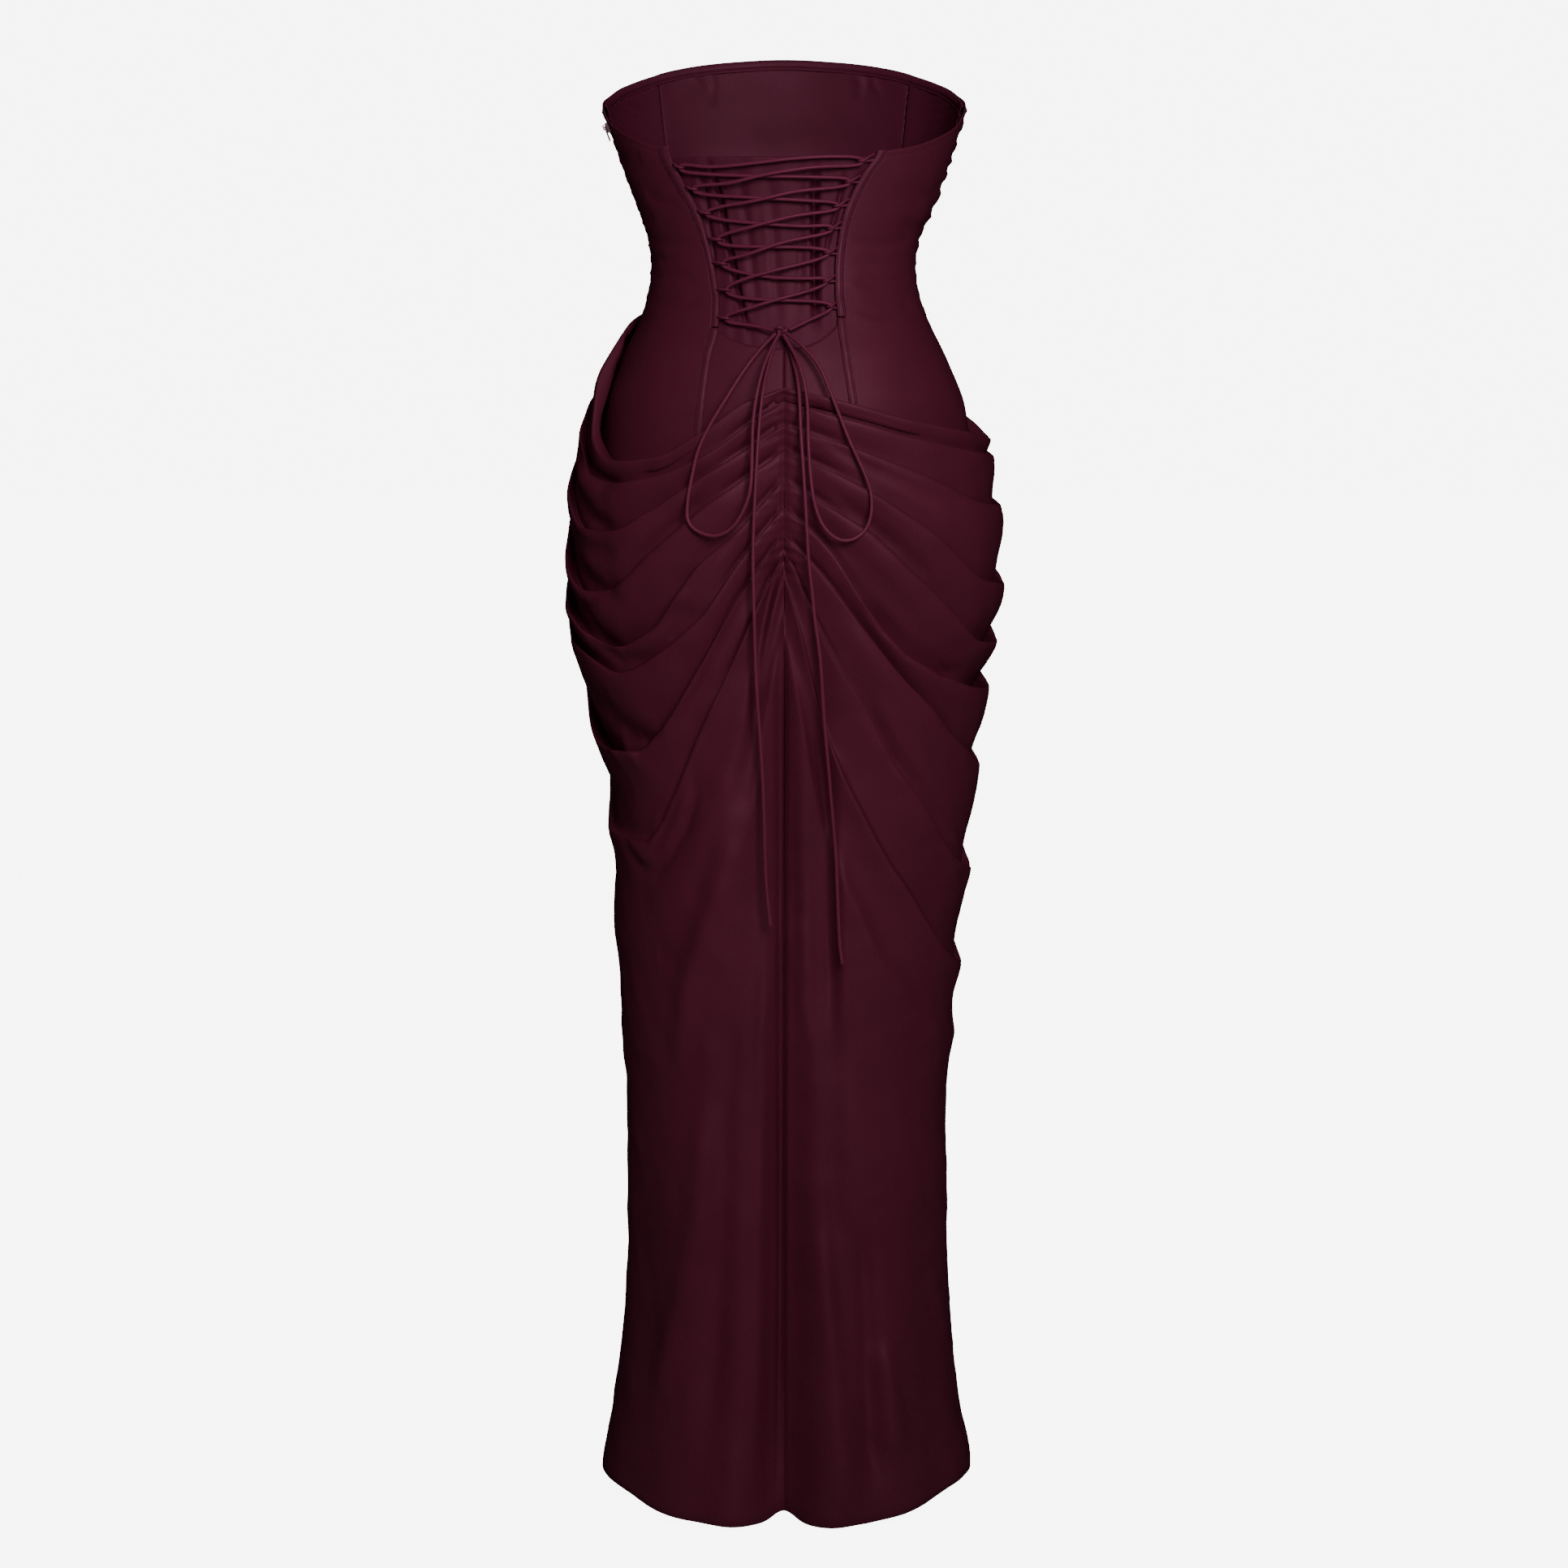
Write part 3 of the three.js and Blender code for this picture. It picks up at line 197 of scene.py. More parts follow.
FRONT_CREASES = [
    ([(95, -120), (112, -92), (130, -88), (150, -100)], 6, 2.0, 1.6),
    ([(94, -225), (112, -180), (135, -172), (165, -200)], 7, 2.2, 1.8),
    ([(95, -282), (115, -225), (140, -226), (180, -262)], 7, 2.0, 1.6),
    ([(96, -360), (120, -276), (150, -292), (190, -336)], 8, 2.4, 2.0),
    ([(98, -462), (122, -350), (150, -362), (190, -414)], 9, 2.4, 2.0),
    ([(100, -560), (125, -450), (155, -470), (200, -520)], 10, 2.2, 2.2),
    ([(262, -200), (235, -182), (200, -150)], 6, 1.8, 1.5),
    ([(264, -262), (236, -232), (196, -190)], 6, 1.8, 1.6),
    ([(264, -362), (238, -334), (200, -292)], 7, 2.2, 1.8),
    ([(262, -500), (236, -470), (200, -430)], 9, 2.2, 2.0),
    ([(112, -640), (116, -820), (122, -1090)], 16, -3.2, 0),
    ([(150, -660), (154, -860), (158, -1100)], 14, 3.0, 0),
    ([(200, -700), (204, -900), (206, -1100)], 15, -3.0, 0),
    ([(250, -690), (248, -900), (246, -1090)], 15, 3.0, 0),
    ([(98, -700), (99, -900), (101, -1090)], 12, 2.4, 0),
    ([(262, -720), (261, -900), (259, -1090)], 12, -2.6, 0),
]
SIDE_CREASES = [
    ([(80, 18), (52, 13), (38, 14)], 6, 0.7, 0.8),
    ([(80, -15), (49, -14), (35, -21)], 5, 0.8, 0.8),
    ([(74, -37), (43, -41), (33, -35)], 5, 0.8, 0.9),
    ([(66, 60), (52, 48), (42, 46)], 8, 0.6, 0.6),
    ([(84, 92), (70, 84), (56, 86)], 9, 0.7, 0.7),
    ([(-26, 16), (-42, 12), (-68, 17)], 6, 0.7, 0.8),
    ([(-26, -20), (-44, -21), (-71, -15)], 5, 0.8, 0.8),
    ([(-26, -45), (-40, -49), (-66, -39)], 5, 0.8, 0.9),
    ([(-82, 70), (-60, 62), (-40, 66)], 9, 0.6, 0.6),
    ([(-84, 38), (-66, 33), (-50, 38)], 6, 0.6, 0.7),
    ([(86, -2), (70, 3), (60, 0)], 4, 0.7, 0.8),
    ([(88, 40), (74, 36), (62, 40)], 5, 0.6, 0.7),
]
LINING_CREASES = [
    ([(150, 178), (154, 165), (160, 150)], 4, 1.0, 0.8),
    ([(156, 180), (158, 168), (157, 156)], 3, 1.0, -0.8),
    ([(202, 180), (205, 168), (203, 154)], 4, 1.0, 0.8),
    ([(209, 178), (208, 166), (212, 155)], 3, 1.0, -0.8),
]
MODESTY_CREASES = [
    ([(26, 90), (24, 65), (23, 44), (23, 23), (21, 1), (19, -16), (17, -31), (14, -50), (10, -66)],
     2.2, 7.5, 1.6),
    ([(-10, 88), (-10, 58), (-12, 15), (-12, -20), (-11, -60)], 3.0, 8.0, -1.6),
    ([(-20, 80), (-19, 50), (-18, 30), (-16, 5)], 2.2, 3.0, 1.0),
    ([(6, 90), (5, 50), (4, 0), (2, -60)], 4.5, 1.0, 0.8),
    ([(14, 88), (13, 40), (11, -10), (8, -50)], 4.5, 1.1, -0.8),
    ([(-4, 88), (-4, 40), (-5, 0), (-4, -50)], 4.2, 0.9, 0.8),
    ([(31, 84), (30, 60), (31, 30), (30, -10)], 3.0, 2.4, 0.8),
    ([(-27, 84), (-24, 50), (-22, 20)], 3.0, 2.0, 0.8),
]

# Edges of the casings and the seams below them, as X by height
CASING_LEFT = [
    (98, 101, 110), (76, 92, 100.5), (45, 75.5, 83), (15, 66, 71.5), (-13, 60, 65.5), (-35, 57, 62.5),
    (-57, 57.5, 63.5),
]
CASING_RIGHT = [
    (98, -82, -90.5), (76, -68.5, -76.5), (54, -57, -64.5), (37, -51, -58), (15, -47, -53.5),
    (-6, -45, -51.5), (-27, -45, -51.5), (-48, -47, -54),
]
SEAM_BELOW_LEFT = [(-57, 61), (-84, 67.5), (-150, 75.5), (-215, 80)]
SEAM_BELOW_RIGHT = [(-48, -50.5), (-84, -54.5), (-124, -60.5), (-215, -68)]
CHANNEL_HALF = 3.6
SEAM_IN_CHANNEL = 2.7
TOP_OF_V = -76
LINING_SEAM = [(190, 118), (140, 114), (110, 111), (40, 98), (0, 88), (-60, 96), (-215, 118)]
LINING_FACE = -3.3
RUCHED_TO = -60
GATHERS = 14
GATHER_DEPTH = 2.6
GATHER_SLANT = 16

# Fabric loops: X and height of the root and of the tip
LOOPS_LEFT = [
    (95.6, 85, 88, 82), (85, 65, 76, 63), (74.5, 44, 64.5, 42), (65.5, 20, 54.5, 19),
    (61.5, -1, 50.5, -2), (57.5, -25, 47, -25), (56.5, -49, 47.5, -50),
]
LOOPS_RIGHT = [
    (-77.5, 91, -65, 87), (-65.5, 72, -54, 69), (-55.5, 52, -44, 48), (-49, 32, -38.5, 28.5),
    (-45.5, 9.5, -35.5, 7.5), (-44, -14.5, -34, -17.5), (-45, -38, -38, -39.5),
]
LACE_OUT = 2

# Routes of the lace, its bow and its tails, as in the part's source
LACE = [
    (9.3, 104.5, -60.5), (28, 98.5, -56), (50.5, 92, -52.2), (50.5, 91, -47.8), (34, 95.5, -42),
    (6.5, 96, -33.5), (-37, 85.5, -19.7), (-37, 85, -15.3), (-19.5, 87.5, -15), (16, 87.5, -13.5),
    (53.5, 79.5, -4.2), (53.5, 79, 0.2), (35, 86, 5), (-2, 89, 17.5), (-41.5, 81.5, 26.3),
    (-41.5, 81.5, 30.7), (-19.5, 84.5, 30.5), (16, 85, 32.5), (67.5, 75, 39.8), (67.5, 75, 44.2),
    (24.5, 88, 52.5), (-11, 88.5, 61), (-57, 80.5, 66.8), (-57, 80.5, 71.2), (-32.5, 85, 73),
    (24.5, 85.5, 74), (67, 78.5, 76), (91, 70.5, 79.8), (91, 71, 84.2), (66, 79.5, 82), (31.5, 86, 84.5),
    (-7.5, 87.5, 89), (-46.5, 84.5, 91), (-68, 79.5, 89.2), (-68, 79.5, 84.8), (-28.5, 88, 82),
    (17.5, 90, 75), (49.5, 84.5, 67.5), (79, 73, 65.2), (79, 72.5, 60.8), (28, 84, 55.5),
    (-25, 84.5, 52.5), (-47, 81, 50.2), (-47, 81, 45.8), (-11, 88, 40), (28, 87.5, 30), (57.5, 77, 21.2),
    (57.5, 77, 16.8), (44.5, 81, 13.5), (7, 85.5, 12.5), (-38.5, 82, 9.7), (-38.5, 82.5, 5.3),
    (7, 90.5, -7.5), (37.5, 87.5, -16.5), (50, 83.5, -22.8), (50, 84.5, -27.2), (39, 88.5, -31.5),
    (7, 92.5, -34), (-41, 90, -37.3), (-41, 91, -41.7), (-25, 96.5, -50), (-4.4, 104, -60),
]
BOW_LEFT = [
    (7.6, 107, -63.3), (18, 113, -74), (33, 119.5, -92.5), (51, 126, -120.5), (67, 127.5, -147),
    (75.5, 127, -166.5), (81, 128, -191), (84, 129, -208.5), (84, 130, -224.5), (79, 132.5, -232),
    (70.5, 134.5, -236.5), (61.5, 136.5, -238.5), (51, 138.5, -235.5), (42, 140.5, -227.5),
    (34, 142, -213.5), (29.5, 142, -199.5), (28, 140, -178.5), (27, 136, -140), (23, 130, -112),
    (15.5, 120.5, -85.5), (4.7, 108.9, -64.1),
]
BOW_RIGHT = [
    (-2.6, 107.1, -63.1), (-14.5, 113.5, -72.5), (-30.5, 120, -91), (-41, 125, -115.5), (-57, 130, -156),
    (-67.5, 130.5, -178.5), (-74.5, 131, -196.5), (-76.5, 132, -214), (-73, 134, -229.5),
    (-65.5, 136, -238.5), (-55, 138, -242.5), (-44.5, 139.5, -240), (-34, 140, -229.5),
    (-27, 139.5, -212), (-23.5, 138, -191), (-21, 134, -155.5), (-20, 128.5, -120.5), (-13, 119.5, -89),
    (0.3, 108.9, -64.1),
]
TAIL_LEFT = [
    (4.9, 103.6, -65.3), (11, 110, -82), (18, 124.5, -110), (22, 132, -147), (24, 136, -178.5),
    (26, 139, -217), (27, 141, -252.5), (26.5, 141.5, -287.5), (26, 141, -308.5), (24.5, 138.5, -362),
    (21, 133, -416), (18, 129, -470), (16, 126, -542.5), (12, 125, -582.5),
]
TAIL_RIGHT = [
    (0.1, 103.6, -65.3), (-6.5, 109.5, -82), (-12.5, 123, -107), (-14.5, 132.5, -147),
    (-17.5, 137.5, -191), (-19.5, 140.5, -226), (-21.5, 142, -261), (-24.5, 142, -287.5),
    (-27, 141.5, -312.5), (-31.5, 139.5, -344.5), (-35, 133.5, -398), (-39, 129, -443),
    (-43, 126, -488.5), (-46, 123.5, -524.5), (-49, 121.5, -597.5), (-51.5, 120.5, -617),
]
KNOT = (2.5, 105.5, -60.5)


# Curves and the figure's form
def smooth(t):
    clamped = np.clip(t, 0, 1)
    return clamped * clamped * (3 - 2 * clamped)


def mix(a, b, t):
    return a + (b - a) * t


def curve(keys, values, pointed_ends=False):
    """A smooth curve through a table, the same one as in the part's source."""
    keys = np.array(keys, float)
    values = np.array(values, float)
    if keys[0] > keys[-1]:
        keys, values = keys[::-1], values[::-1]
    gaps = np.diff(keys)
    rise = np.diff(values) / gaps
    slopes = np.zeros(len(keys))
    product = rise[:-1] * rise[1:]
    total = rise[:-1] + rise[1:]
    slopes[1:-1] = np.where(product > 0, 2 * product / np.where(total == 0, 1, total), 0)
    if pointed_ends:
        slopes[0], slopes[-1] = rise[0], rise[-1]

    def read(at):
        at = np.clip(np.asarray(at, float), keys[0], keys[-1])
        low = np.clip(np.searchsorted(keys, at, side="right") - 1, 0, len(gaps) - 1)
        t = (at - keys[low]) / gaps[low]
        rest = 1 - t
        return (rest * rest * (1 + 2 * t) * values[low] + t * t * (3 - 2 * t) * values[low + 1]
                + t * rest * rest * gaps[low] * slopes[low] - t * t * rest * gaps[low] * slopes[low + 1])
    return read


def form_of(table):
    heights = [row[0] for row in table]
    return [curve(heights, [row[column] for row in table]) for column in (1, 2, 3, 4)]


bodice_form = form_of(BODICE_FORM)
skirt_form = form_of(SKIRT_FORM)
top_curve = curve(*zip(*TOP_EDGE))


def on_form(form, angle, z, out):
    """Points of a form at an angle and height, moved out along its level normal."""
    given = (np.asarray(value, float) for value in (angle, z, out))
    angle, z, out = np.broadcast_arrays(*given)
    sine = np.sin(np.radians(angle))
    cosine = np.cos(np.radians(angle))
    left, right, back, front = form
    wide = np.where(sine >= 0, left(z), right(z))
    deep = np.where(cosine >= 0, back(z), front(z))
    x = np.sign(sine) * np.abs(sine) ** (2 / ROUNDNESS)
    y = np.sign(cosine) * np.abs(cosine) ** (2 / ROUNDNESS)
    normal_x = np.sign(x) * np.abs(x) ** (ROUNDNESS - 1) / wide
    normal_y = np.sign(y) * np.abs(y) ** (ROUNDNESS - 1) / deep
    length = np.hypot(normal_x, normal_y)
    return np.stack([x * wide + out * normal_x / length, y * deep + out * normal_y / length, z], axis=-1)


def angle_at(form, x, z, on_front=False):
    x, z = np.broadcast_arrays(np.asarray(x, float), np.asarray(z, float))
    wide = np.where(x >= 0, form[0](z), form[1](z))
    turn = np.degrees(np.arcsin(np.minimum(1, np.abs(x) / wide) ** (ROUNDNESS / 2)))
    from_centre = np.sign(x) * turn
    return FRONT_CENTRE - from_centre if on_front else from_centre


def from_centre_back(angle):
    """Degrees from the centre back, either way round."""
    return np.abs((np.asarray(angle, float) + FRONT_CENTRE) % FULL_TURN - FRONT_CENTRE)


def top_edge(angle):
    return top_curve(from_centre_back(angle))


def ripple(angle, lowest, seed, count=5):
    """An uneven wave round the figure, between about -1 and 1."""
    draw = np.random.default_rng(seed)
    total = np.zeros_like(np.asarray(angle, float))
    for order in range(count):
        phase = draw.uniform(0, 2 * math.pi)
        size = draw.uniform(0.5, 1.0) / (1 + 0.5 * order)
        total = total + size * np.sin(np.radians(angle) * (lowest + order) + phase)
    return total / 1.6


def wander(u, v, scale, seed, count=14):
    """An uneven surface over two coordinates in millimetres, between about -1 and 1."""
    draw = np.random.default_rng(seed)
    total = np.zeros(np.broadcast(u, v).shape)
    for _ in range(count):
        turn = draw.uniform(0, 2 * math.pi)
        reach = scale * draw.uniform(0.6, 1.6)
        phase = draw.uniform(0, 2 * math.pi)
        total = total + np.sin(2 * math.pi * (u * math.cos(turn) + v * math.sin(turn)) / reach + phase)
    return total / math.sqrt(count) / 1.4


def crease_field(angle, z, creases, mm_per_degree):
    """How far the listed creases move the cloth out, at each angle and height."""
    field = np.zeros(np.broadcast(angle, z).shape)
    u = np.broadcast_to(angle, field.shape) * mm_per_degree
    v = np.broadcast_to(z, field.shape)
    for line, width, trough, lean in creases:
        points = [(a * mm_per_degree, h) for a, h in line]
        total = sum(math.dist(a, b) for a, b in zip(points, points[1:]))
        nearest = np.full(field.shape, 1e9)
        side = np.zeros(field.shape)
        share = np.zeros(field.shape)
        walked = 0
        for a, b in zip(points, points[1:]):
            du, dv = b[0] - a[0], b[1] - a[1]
            span = math.hypot(du, dv)
            t = np.clip(((u - a[0]) * du + (v - a[1]) * dv) / span ** 2, 0, 1)
            off_u = u - a[0] - t * du
            off_v = v - a[1] - t * dv
            apart = np.hypot(off_u, off_v)
            closer = apart < nearest
            nearest = np.where(closer, apart, nearest)
            side = np.where(closer, np.sign(du * off_v - dv * off_u), side)
            share = np.where(closer, (walked + t * span) / total, share)
            walked += span
        fade = smooth(np.minimum(share, 1 - share) / 0.22 + 0.08)
        across = nearest / width
        bell = np.exp(-across ** 2)
        field += fade * bell * (-trough + 1.5 * lean * side * across)
    return field


# Materials
def value_node(tree, kind, place, **inputs):
    node = tree.nodes.new(kind)
    node.location = place
    for name, value in inputs.items():
        node.inputs[name.replace("_", " ")].default_value = value
    return node


def make_crepe_weave():
    """Fine pebbled grain, long slubs of the yarn and slow changes of tone, from a position in metres."""
    group = bpy.data.node_groups.new("crepe_weave", "ShaderNodeTree")
    group.interface.new_socket("Vector", in_out="INPUT", socket_type="NodeSocketVector")
    group.interface.new_socket("Grain", in_out="INPUT", socket_type="NodeSocketFloat")
    group.interface.new_socket("Tone", in_out="OUTPUT", socket_type="NodeSocketFloat")
    group.interface.new_socket("Height", in_out="OUTPUT", socket_type="NodeSocketFloat")
    given = group.nodes.new("NodeGroupInput")
    given.location = (-900, 0)
    result = group.nodes.new("NodeGroupOutput")
    result.location = (500, 0)
    link = group.links.new
    grain = value_node(group, "ShaderNodeTexNoise", (-500, 200), Detail=2.0, Roughness=0.6)
    link(given.outputs["Vector"], grain.inputs["Vector"])
    link(given.outputs["Grain"], grain.inputs["Scale"])
    stretch = group.nodes.new("ShaderNodeMapping")
    stretch.location = (-700, -50)
    stretch.inputs["Scale"].default_value = (1, 0.12, 0.4)
    link(given.outputs["Vector"], stretch.inputs["Vector"])
    slub = value_node(group, "ShaderNodeTexNoise", (-500, -50), Scale=900.0, Detail=3.0, Roughness=0.55)
    link(stretch.outputs["Vector"], slub.inputs["Vector"])
    slow = value_node(group, "ShaderNodeTexNoise", (-500, -300), Scale=7.0, Detail=3.0, Roughness=0.5)
    link(given.outputs["Vector"], slow.inputs["Vector"])
    height = group.nodes.new("ShaderNodeMath")
    height.operation = "MULTIPLY_ADD"
    height.location = (0, 150)
    height.inputs[1].default_value = 0.6
    link(grain.outputs["Fac"], height.inputs[0])
    link(slub.outputs["Fac"], height.inputs[2])
    tone = group.nodes.new("ShaderNodeMath")
    tone.operation = "MULTIPLY_ADD"
    tone.location = (0, -150)
    tone.inputs[1].default_value = 0.3
    link(slub.outputs["Fac"], tone.inputs[0])
    link(slow.outputs["Fac"], tone.inputs[2])
    link(tone.outputs[0], result.inputs["Tone"])
    link(height.outputs[0], result.inputs["Height"])
    return group


crepe_weave = make_crepe_weave()


def linear(red, green, blue):
    """A display colour of 0 to 255 as the linear one that the shaders take."""
    def one(value):
        share = value / 255
        return share / 12.92 if share <= 0.04045 else ((share + 0.055) / 1.055) ** 2.4

    return (one(red), one(green), one(blue), 1)


def new_finish(name):
    finish = bpy.data.materials.new(name)
    finish.use_nodes = True
    return finish, finish.node_tree, finish.node_tree.nodes["Principled BSDF"]


def set_tones(tree, shader, pattern, dark, light, span):
    """Colour from dark to light as a pattern runs over a span of its values."""
    tones = value_node(tree, "ShaderNodeValToRGB", (-250, 150))
    for stop, value, colour in zip(tones.color_ramp.elements, span, (dark, light)):
        stop.position = value
        stop.color = linear(*colour)
    tree.links.new(pattern, tones.inputs["Fac"])
    tree.links.new(tones.outputs["Color"], shader.inputs["Base Color"])


def set_roughness(tree, shader, pattern, first, last, span):
    rough = value_node(tree, "ShaderNodeMapRange", (-250, -100), From_Min=span[0], From_Max=span[1],
                       To_Min=first, To_Max=last)
    tree.links.new(pattern, rough.inputs["Value"])
    tree.links.new(rough.outputs["Result"], shader.inputs["Roughness"])


def set_relief(tree, shader, pattern, strength, distance):
    relief = value_node(tree, "ShaderNodeBump", (0, -300), Strength=strength, Distance=distance)
    tree.links.new(pattern, relief.inputs["Height"])
    tree.links.new(relief.outputs["Normal"], shader.inputs["Normal"])


SHEEN_TINT = (190, 60, 95)
GLOSS_TINT = (0.9, 0.4, 0.55, 1)
GLOSS_LEVEL = 0.13


def cloth_finish(name, dark, light, roughness, sheen, grain=1100.0, on_surface=True):
    """A satin crepe: tone, sheen and grain follow the piece's own cut."""
    finish, tree, shader = new_finish(name)
    shader.location = (400, 0)
    coordinates = value_node(tree, "ShaderNodeTexCoord", (-800, 0))
    weave = tree.nodes.new("ShaderNodeGroup")
    weave.node_tree = crepe_weave
    weave.location = (-550, 0)
    weave.inputs["Grain"].default_value = grain
    tree.links.new(coordinates.outputs["UV" if on_surface else "Object"], weave.inputs["Vector"])
    tone = weave.outputs["Tone"]
    set_tones(tree, shader, tone, dark, light, (0.42, 0.86))
    set_roughness(tree, shader, tone, roughness + 0.05, roughness - 0.05, (0.4, 0.9))
    set_relief(tree, shader, weave.outputs["Height"], 0.35, 0.0002)
    shader.inputs["Sheen Weight"].default_value = sheen
    shader.inputs["Sheen Roughness"].default_value = 0.45
    shader.inputs["Sheen Tint"].default_value = linear(*SHEEN_TINT)
    shader.inputs["Specular IOR Level"].default_value = GLOSS_LEVEL
    shader.inputs["Specular Tint"].default_value = GLOSS_TINT
    return finish


satin_crepe = cloth_finish("satin_crepe", (55, 15, 28), (61, 18, 32), 0.52, 0.0)
satin_inside = cloth_finish("satin_crepe_inside", (53, 14, 28), (59, 17, 32), 0.55, 0.02)
casing_satin = cloth_finish("casing_satin", (56, 17, 31), (63, 20, 36), 0.44, 0.03, grain=1300.0)
lace_satin = cloth_finish("lace_satin", (68, 22, 39), (78, 27, 46), 0.42, 0.03, 1500.0, on_surface=False)
thread = cloth_finish("sewing_thread", (56, 16, 30), (70, 24, 40), 0.5, 0.03, 2500.0, on_surface=False)


def metal_finish():
    """Dark metal, a little worn."""
    finish, tree, shader = new_finish("dark_zip_metal")
    shader.inputs["Metallic"].default_value = 0.85
    coordinates = value_node(tree, "ShaderNodeTexCoord", (-800, 0))
    worn = value_node(tree, "ShaderNodeTexNoise", (-500, 0), Scale=700.0, Detail=4.0, Roughness=0.6)
    tree.links.new(coordinates.outputs["Object"], worn.inputs["Vector"])
    wear = worn.outputs["Fac"]
    set_tones(tree, shader, wear, (20, 9, 13), (46, 26, 31), (0, 1))
    set_roughness(tree, shader, wear, 0.28, 0.5, (0, 1))
    set_relief(tree, shader, wear, 0.15, 0.0001)
    return finish


zip_metal = metal_finish()


# Making pieces
@contextmanager
def picked(piece):
    """The piece selected and active, for operators that act on what is selected."""
    bpy.context.view_layer.objects.active = piece
    piece.select_set(True)
    yield
    piece.select_set(False)


def link_piece(name, data, finish):
    piece = bpy.data.objects.new(name, data)
    bpy.context.scene.collection.objects.link(piece)
    data.materials.append(finish)
    return piece


def cloth_from_grid(name, points, thickness, finish):
    """A thin shell over a grid of points, rows by columns, with its cut laid out as its UV map."""
    rows, columns = points.shape[:2]
    across = np.linalg.norm(np.diff(points, axis=1), axis=2)
    down = np.linalg.norm(np.diff(points, axis=0), axis=2)
    u = np.concatenate([np.zeros((rows, 1)), np.cumsum(across, axis=1)], axis=1) * MM
    v = np.concatenate([np.zeros((1, columns)), np.cumsum(down, axis=0)], axis=0) * MM
    index = np.arange(rows * columns).reshape(rows, columns)
    quads = np.stack([index[:-1, :-1], index[:-1, 1:], index[1:, 1:], index[1:, :-1]], axis=-1).reshape(-1, 4)
    row, column = rows // 2, columns // 2
    along_row = points[row, column + 1] - points[row, column - 1]
    along_column = points[row + 1, column] - points[row - 1, column]
    outward = points[row, column] * (1, 1, 0)
    if np.dot(np.cross(along_row, along_column), outward) < 0:
        quads = quads[:, ::-1]
    mesh = bpy.data.meshes.new(name)
    mesh.from_pydata((points.reshape(-1, 3) * MM).tolist(), [], quads.tolist())
    layer = mesh.uv_layers.new(name="cut")
    corners = quads.ravel()
    layer.data.foreach_set("uv", np.stack([u.ravel()[corners], v.ravel()[corners]], axis=-1).ravel())
    mesh.shade_smooth()
    piece = link_piece(name, mesh, finish)
    wall = piece.modifiers.new("wall", "SOLIDIFY")
    wall.thickness = thickness * MM
    wall.offset = -1
    with picked(piece):
        bpy.ops.object.modifier_apply(modifier=wall.name)
    return piece


def finish_cloth(piece, node):
    """The cloth stands for its CAD node: it joins the dress's body, and the node is hidden."""
    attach(piece, BODY)
    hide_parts(node)


def past_seam(points, seam_angle, column, own):
    """Runs an edge column a little past its seam."""
    turn = math.radians(seam_angle)
    points[:, column, 0] -= own * PAST_EDGE * math.cos(turn)
    points[:, column, 1] += own * PAST_EDGE * math.sin(turn)


def rounded(points, steps=5):
    """Points along a smooth centripetal curve through the given ones, in millimetres."""
    given = [np.array(point, float) for point in points]
    ends = [given[0] * 2 - given[1]] + given + [given[-1] * 2 - given[-2]]
    result = []
    for a, b, c, d in zip(ends, ends[1:], ends[2:], ends[3:]):
        t1 = max(np.linalg.norm(b - a), 1e-6) ** 0.5
        t2 = t1 + max(np.linalg.norm(c - b), 1e-6) ** 0.5
        t3 = t2 + max(np.linalg.norm(d - c), 1e-6) ** 0.5
        for step in range(steps):
            t = mix(t1, t2, step / steps)
            first = a * (t1 - t) / t1 + b * t / t1
            second = b * (t2 - t) / (t2 - t1) + c * (t - t1) / (t2 - t1)
            third = c * (t3 - t) / (t3 - t2) + d * (t - t2) / (t3 - t2)
            inner = first * (t2 - t) / t2 + second * t / t2
            outer = second * (t3 - t) / (t3 - t1) + third * (t - t1) / (t3 - t1)
            result.append(inner * (t2 - t) / (t2 - t1) + outer * (t - t1) / (t2 - t1))
    result.append(given[-1])
    return np.array(result)


def cord_piece(name, points, width, finish, closed=False):
    data = bpy.data.curves.new(name, "CURVE")
    data.dimensions = "3D"
    data.bevel_depth = width / 2 * MM
    data.bevel_resolution = 3
    data.use_fill_caps = not closed
    spline = data.splines.new("POLY")
    spline.points.add(len(points) - 1)
    for target, point in zip(spline.points, points):
        target.co = (point[0] * MM, point[1] * MM, point[2] * MM, 1)
    spline.use_cyclic_u = closed
    spline.use_smooth = True
    return link_piece(name, data, finish)


def place_cord(piece, node):
    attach(piece, BODY)
    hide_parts(node)


# Node, route, length in metres, what its far end is, how it lies
CORDS = [
    ("lace", LACE, 1.68, "object", "taut"), ("bow_loop_left", BOW_LEFT, 0.415, "object", "hanging"),
    ("bow_loop_right", BOW_RIGHT, 0.42, "object", "hanging"),
    ("tail_left", TAIL_LEFT, 0.53, "bare", "hanging"), ("tail_right", TAIL_RIGHT, 0.57, "bare", "hanging"),
]
for cord_node, route, length, far_end, lay in CORDS:
    steps = rounded(route)
    for _ in range(2):
        steps[1:-1] = (steps[:-2] + 2 * steps[1:-1] + steps[2:]) / 4
    cord = cord_piece(cord_node + "_cord", steps, LACE_WIDTH, lace_satin)
    place_cord(cord, cord_node)


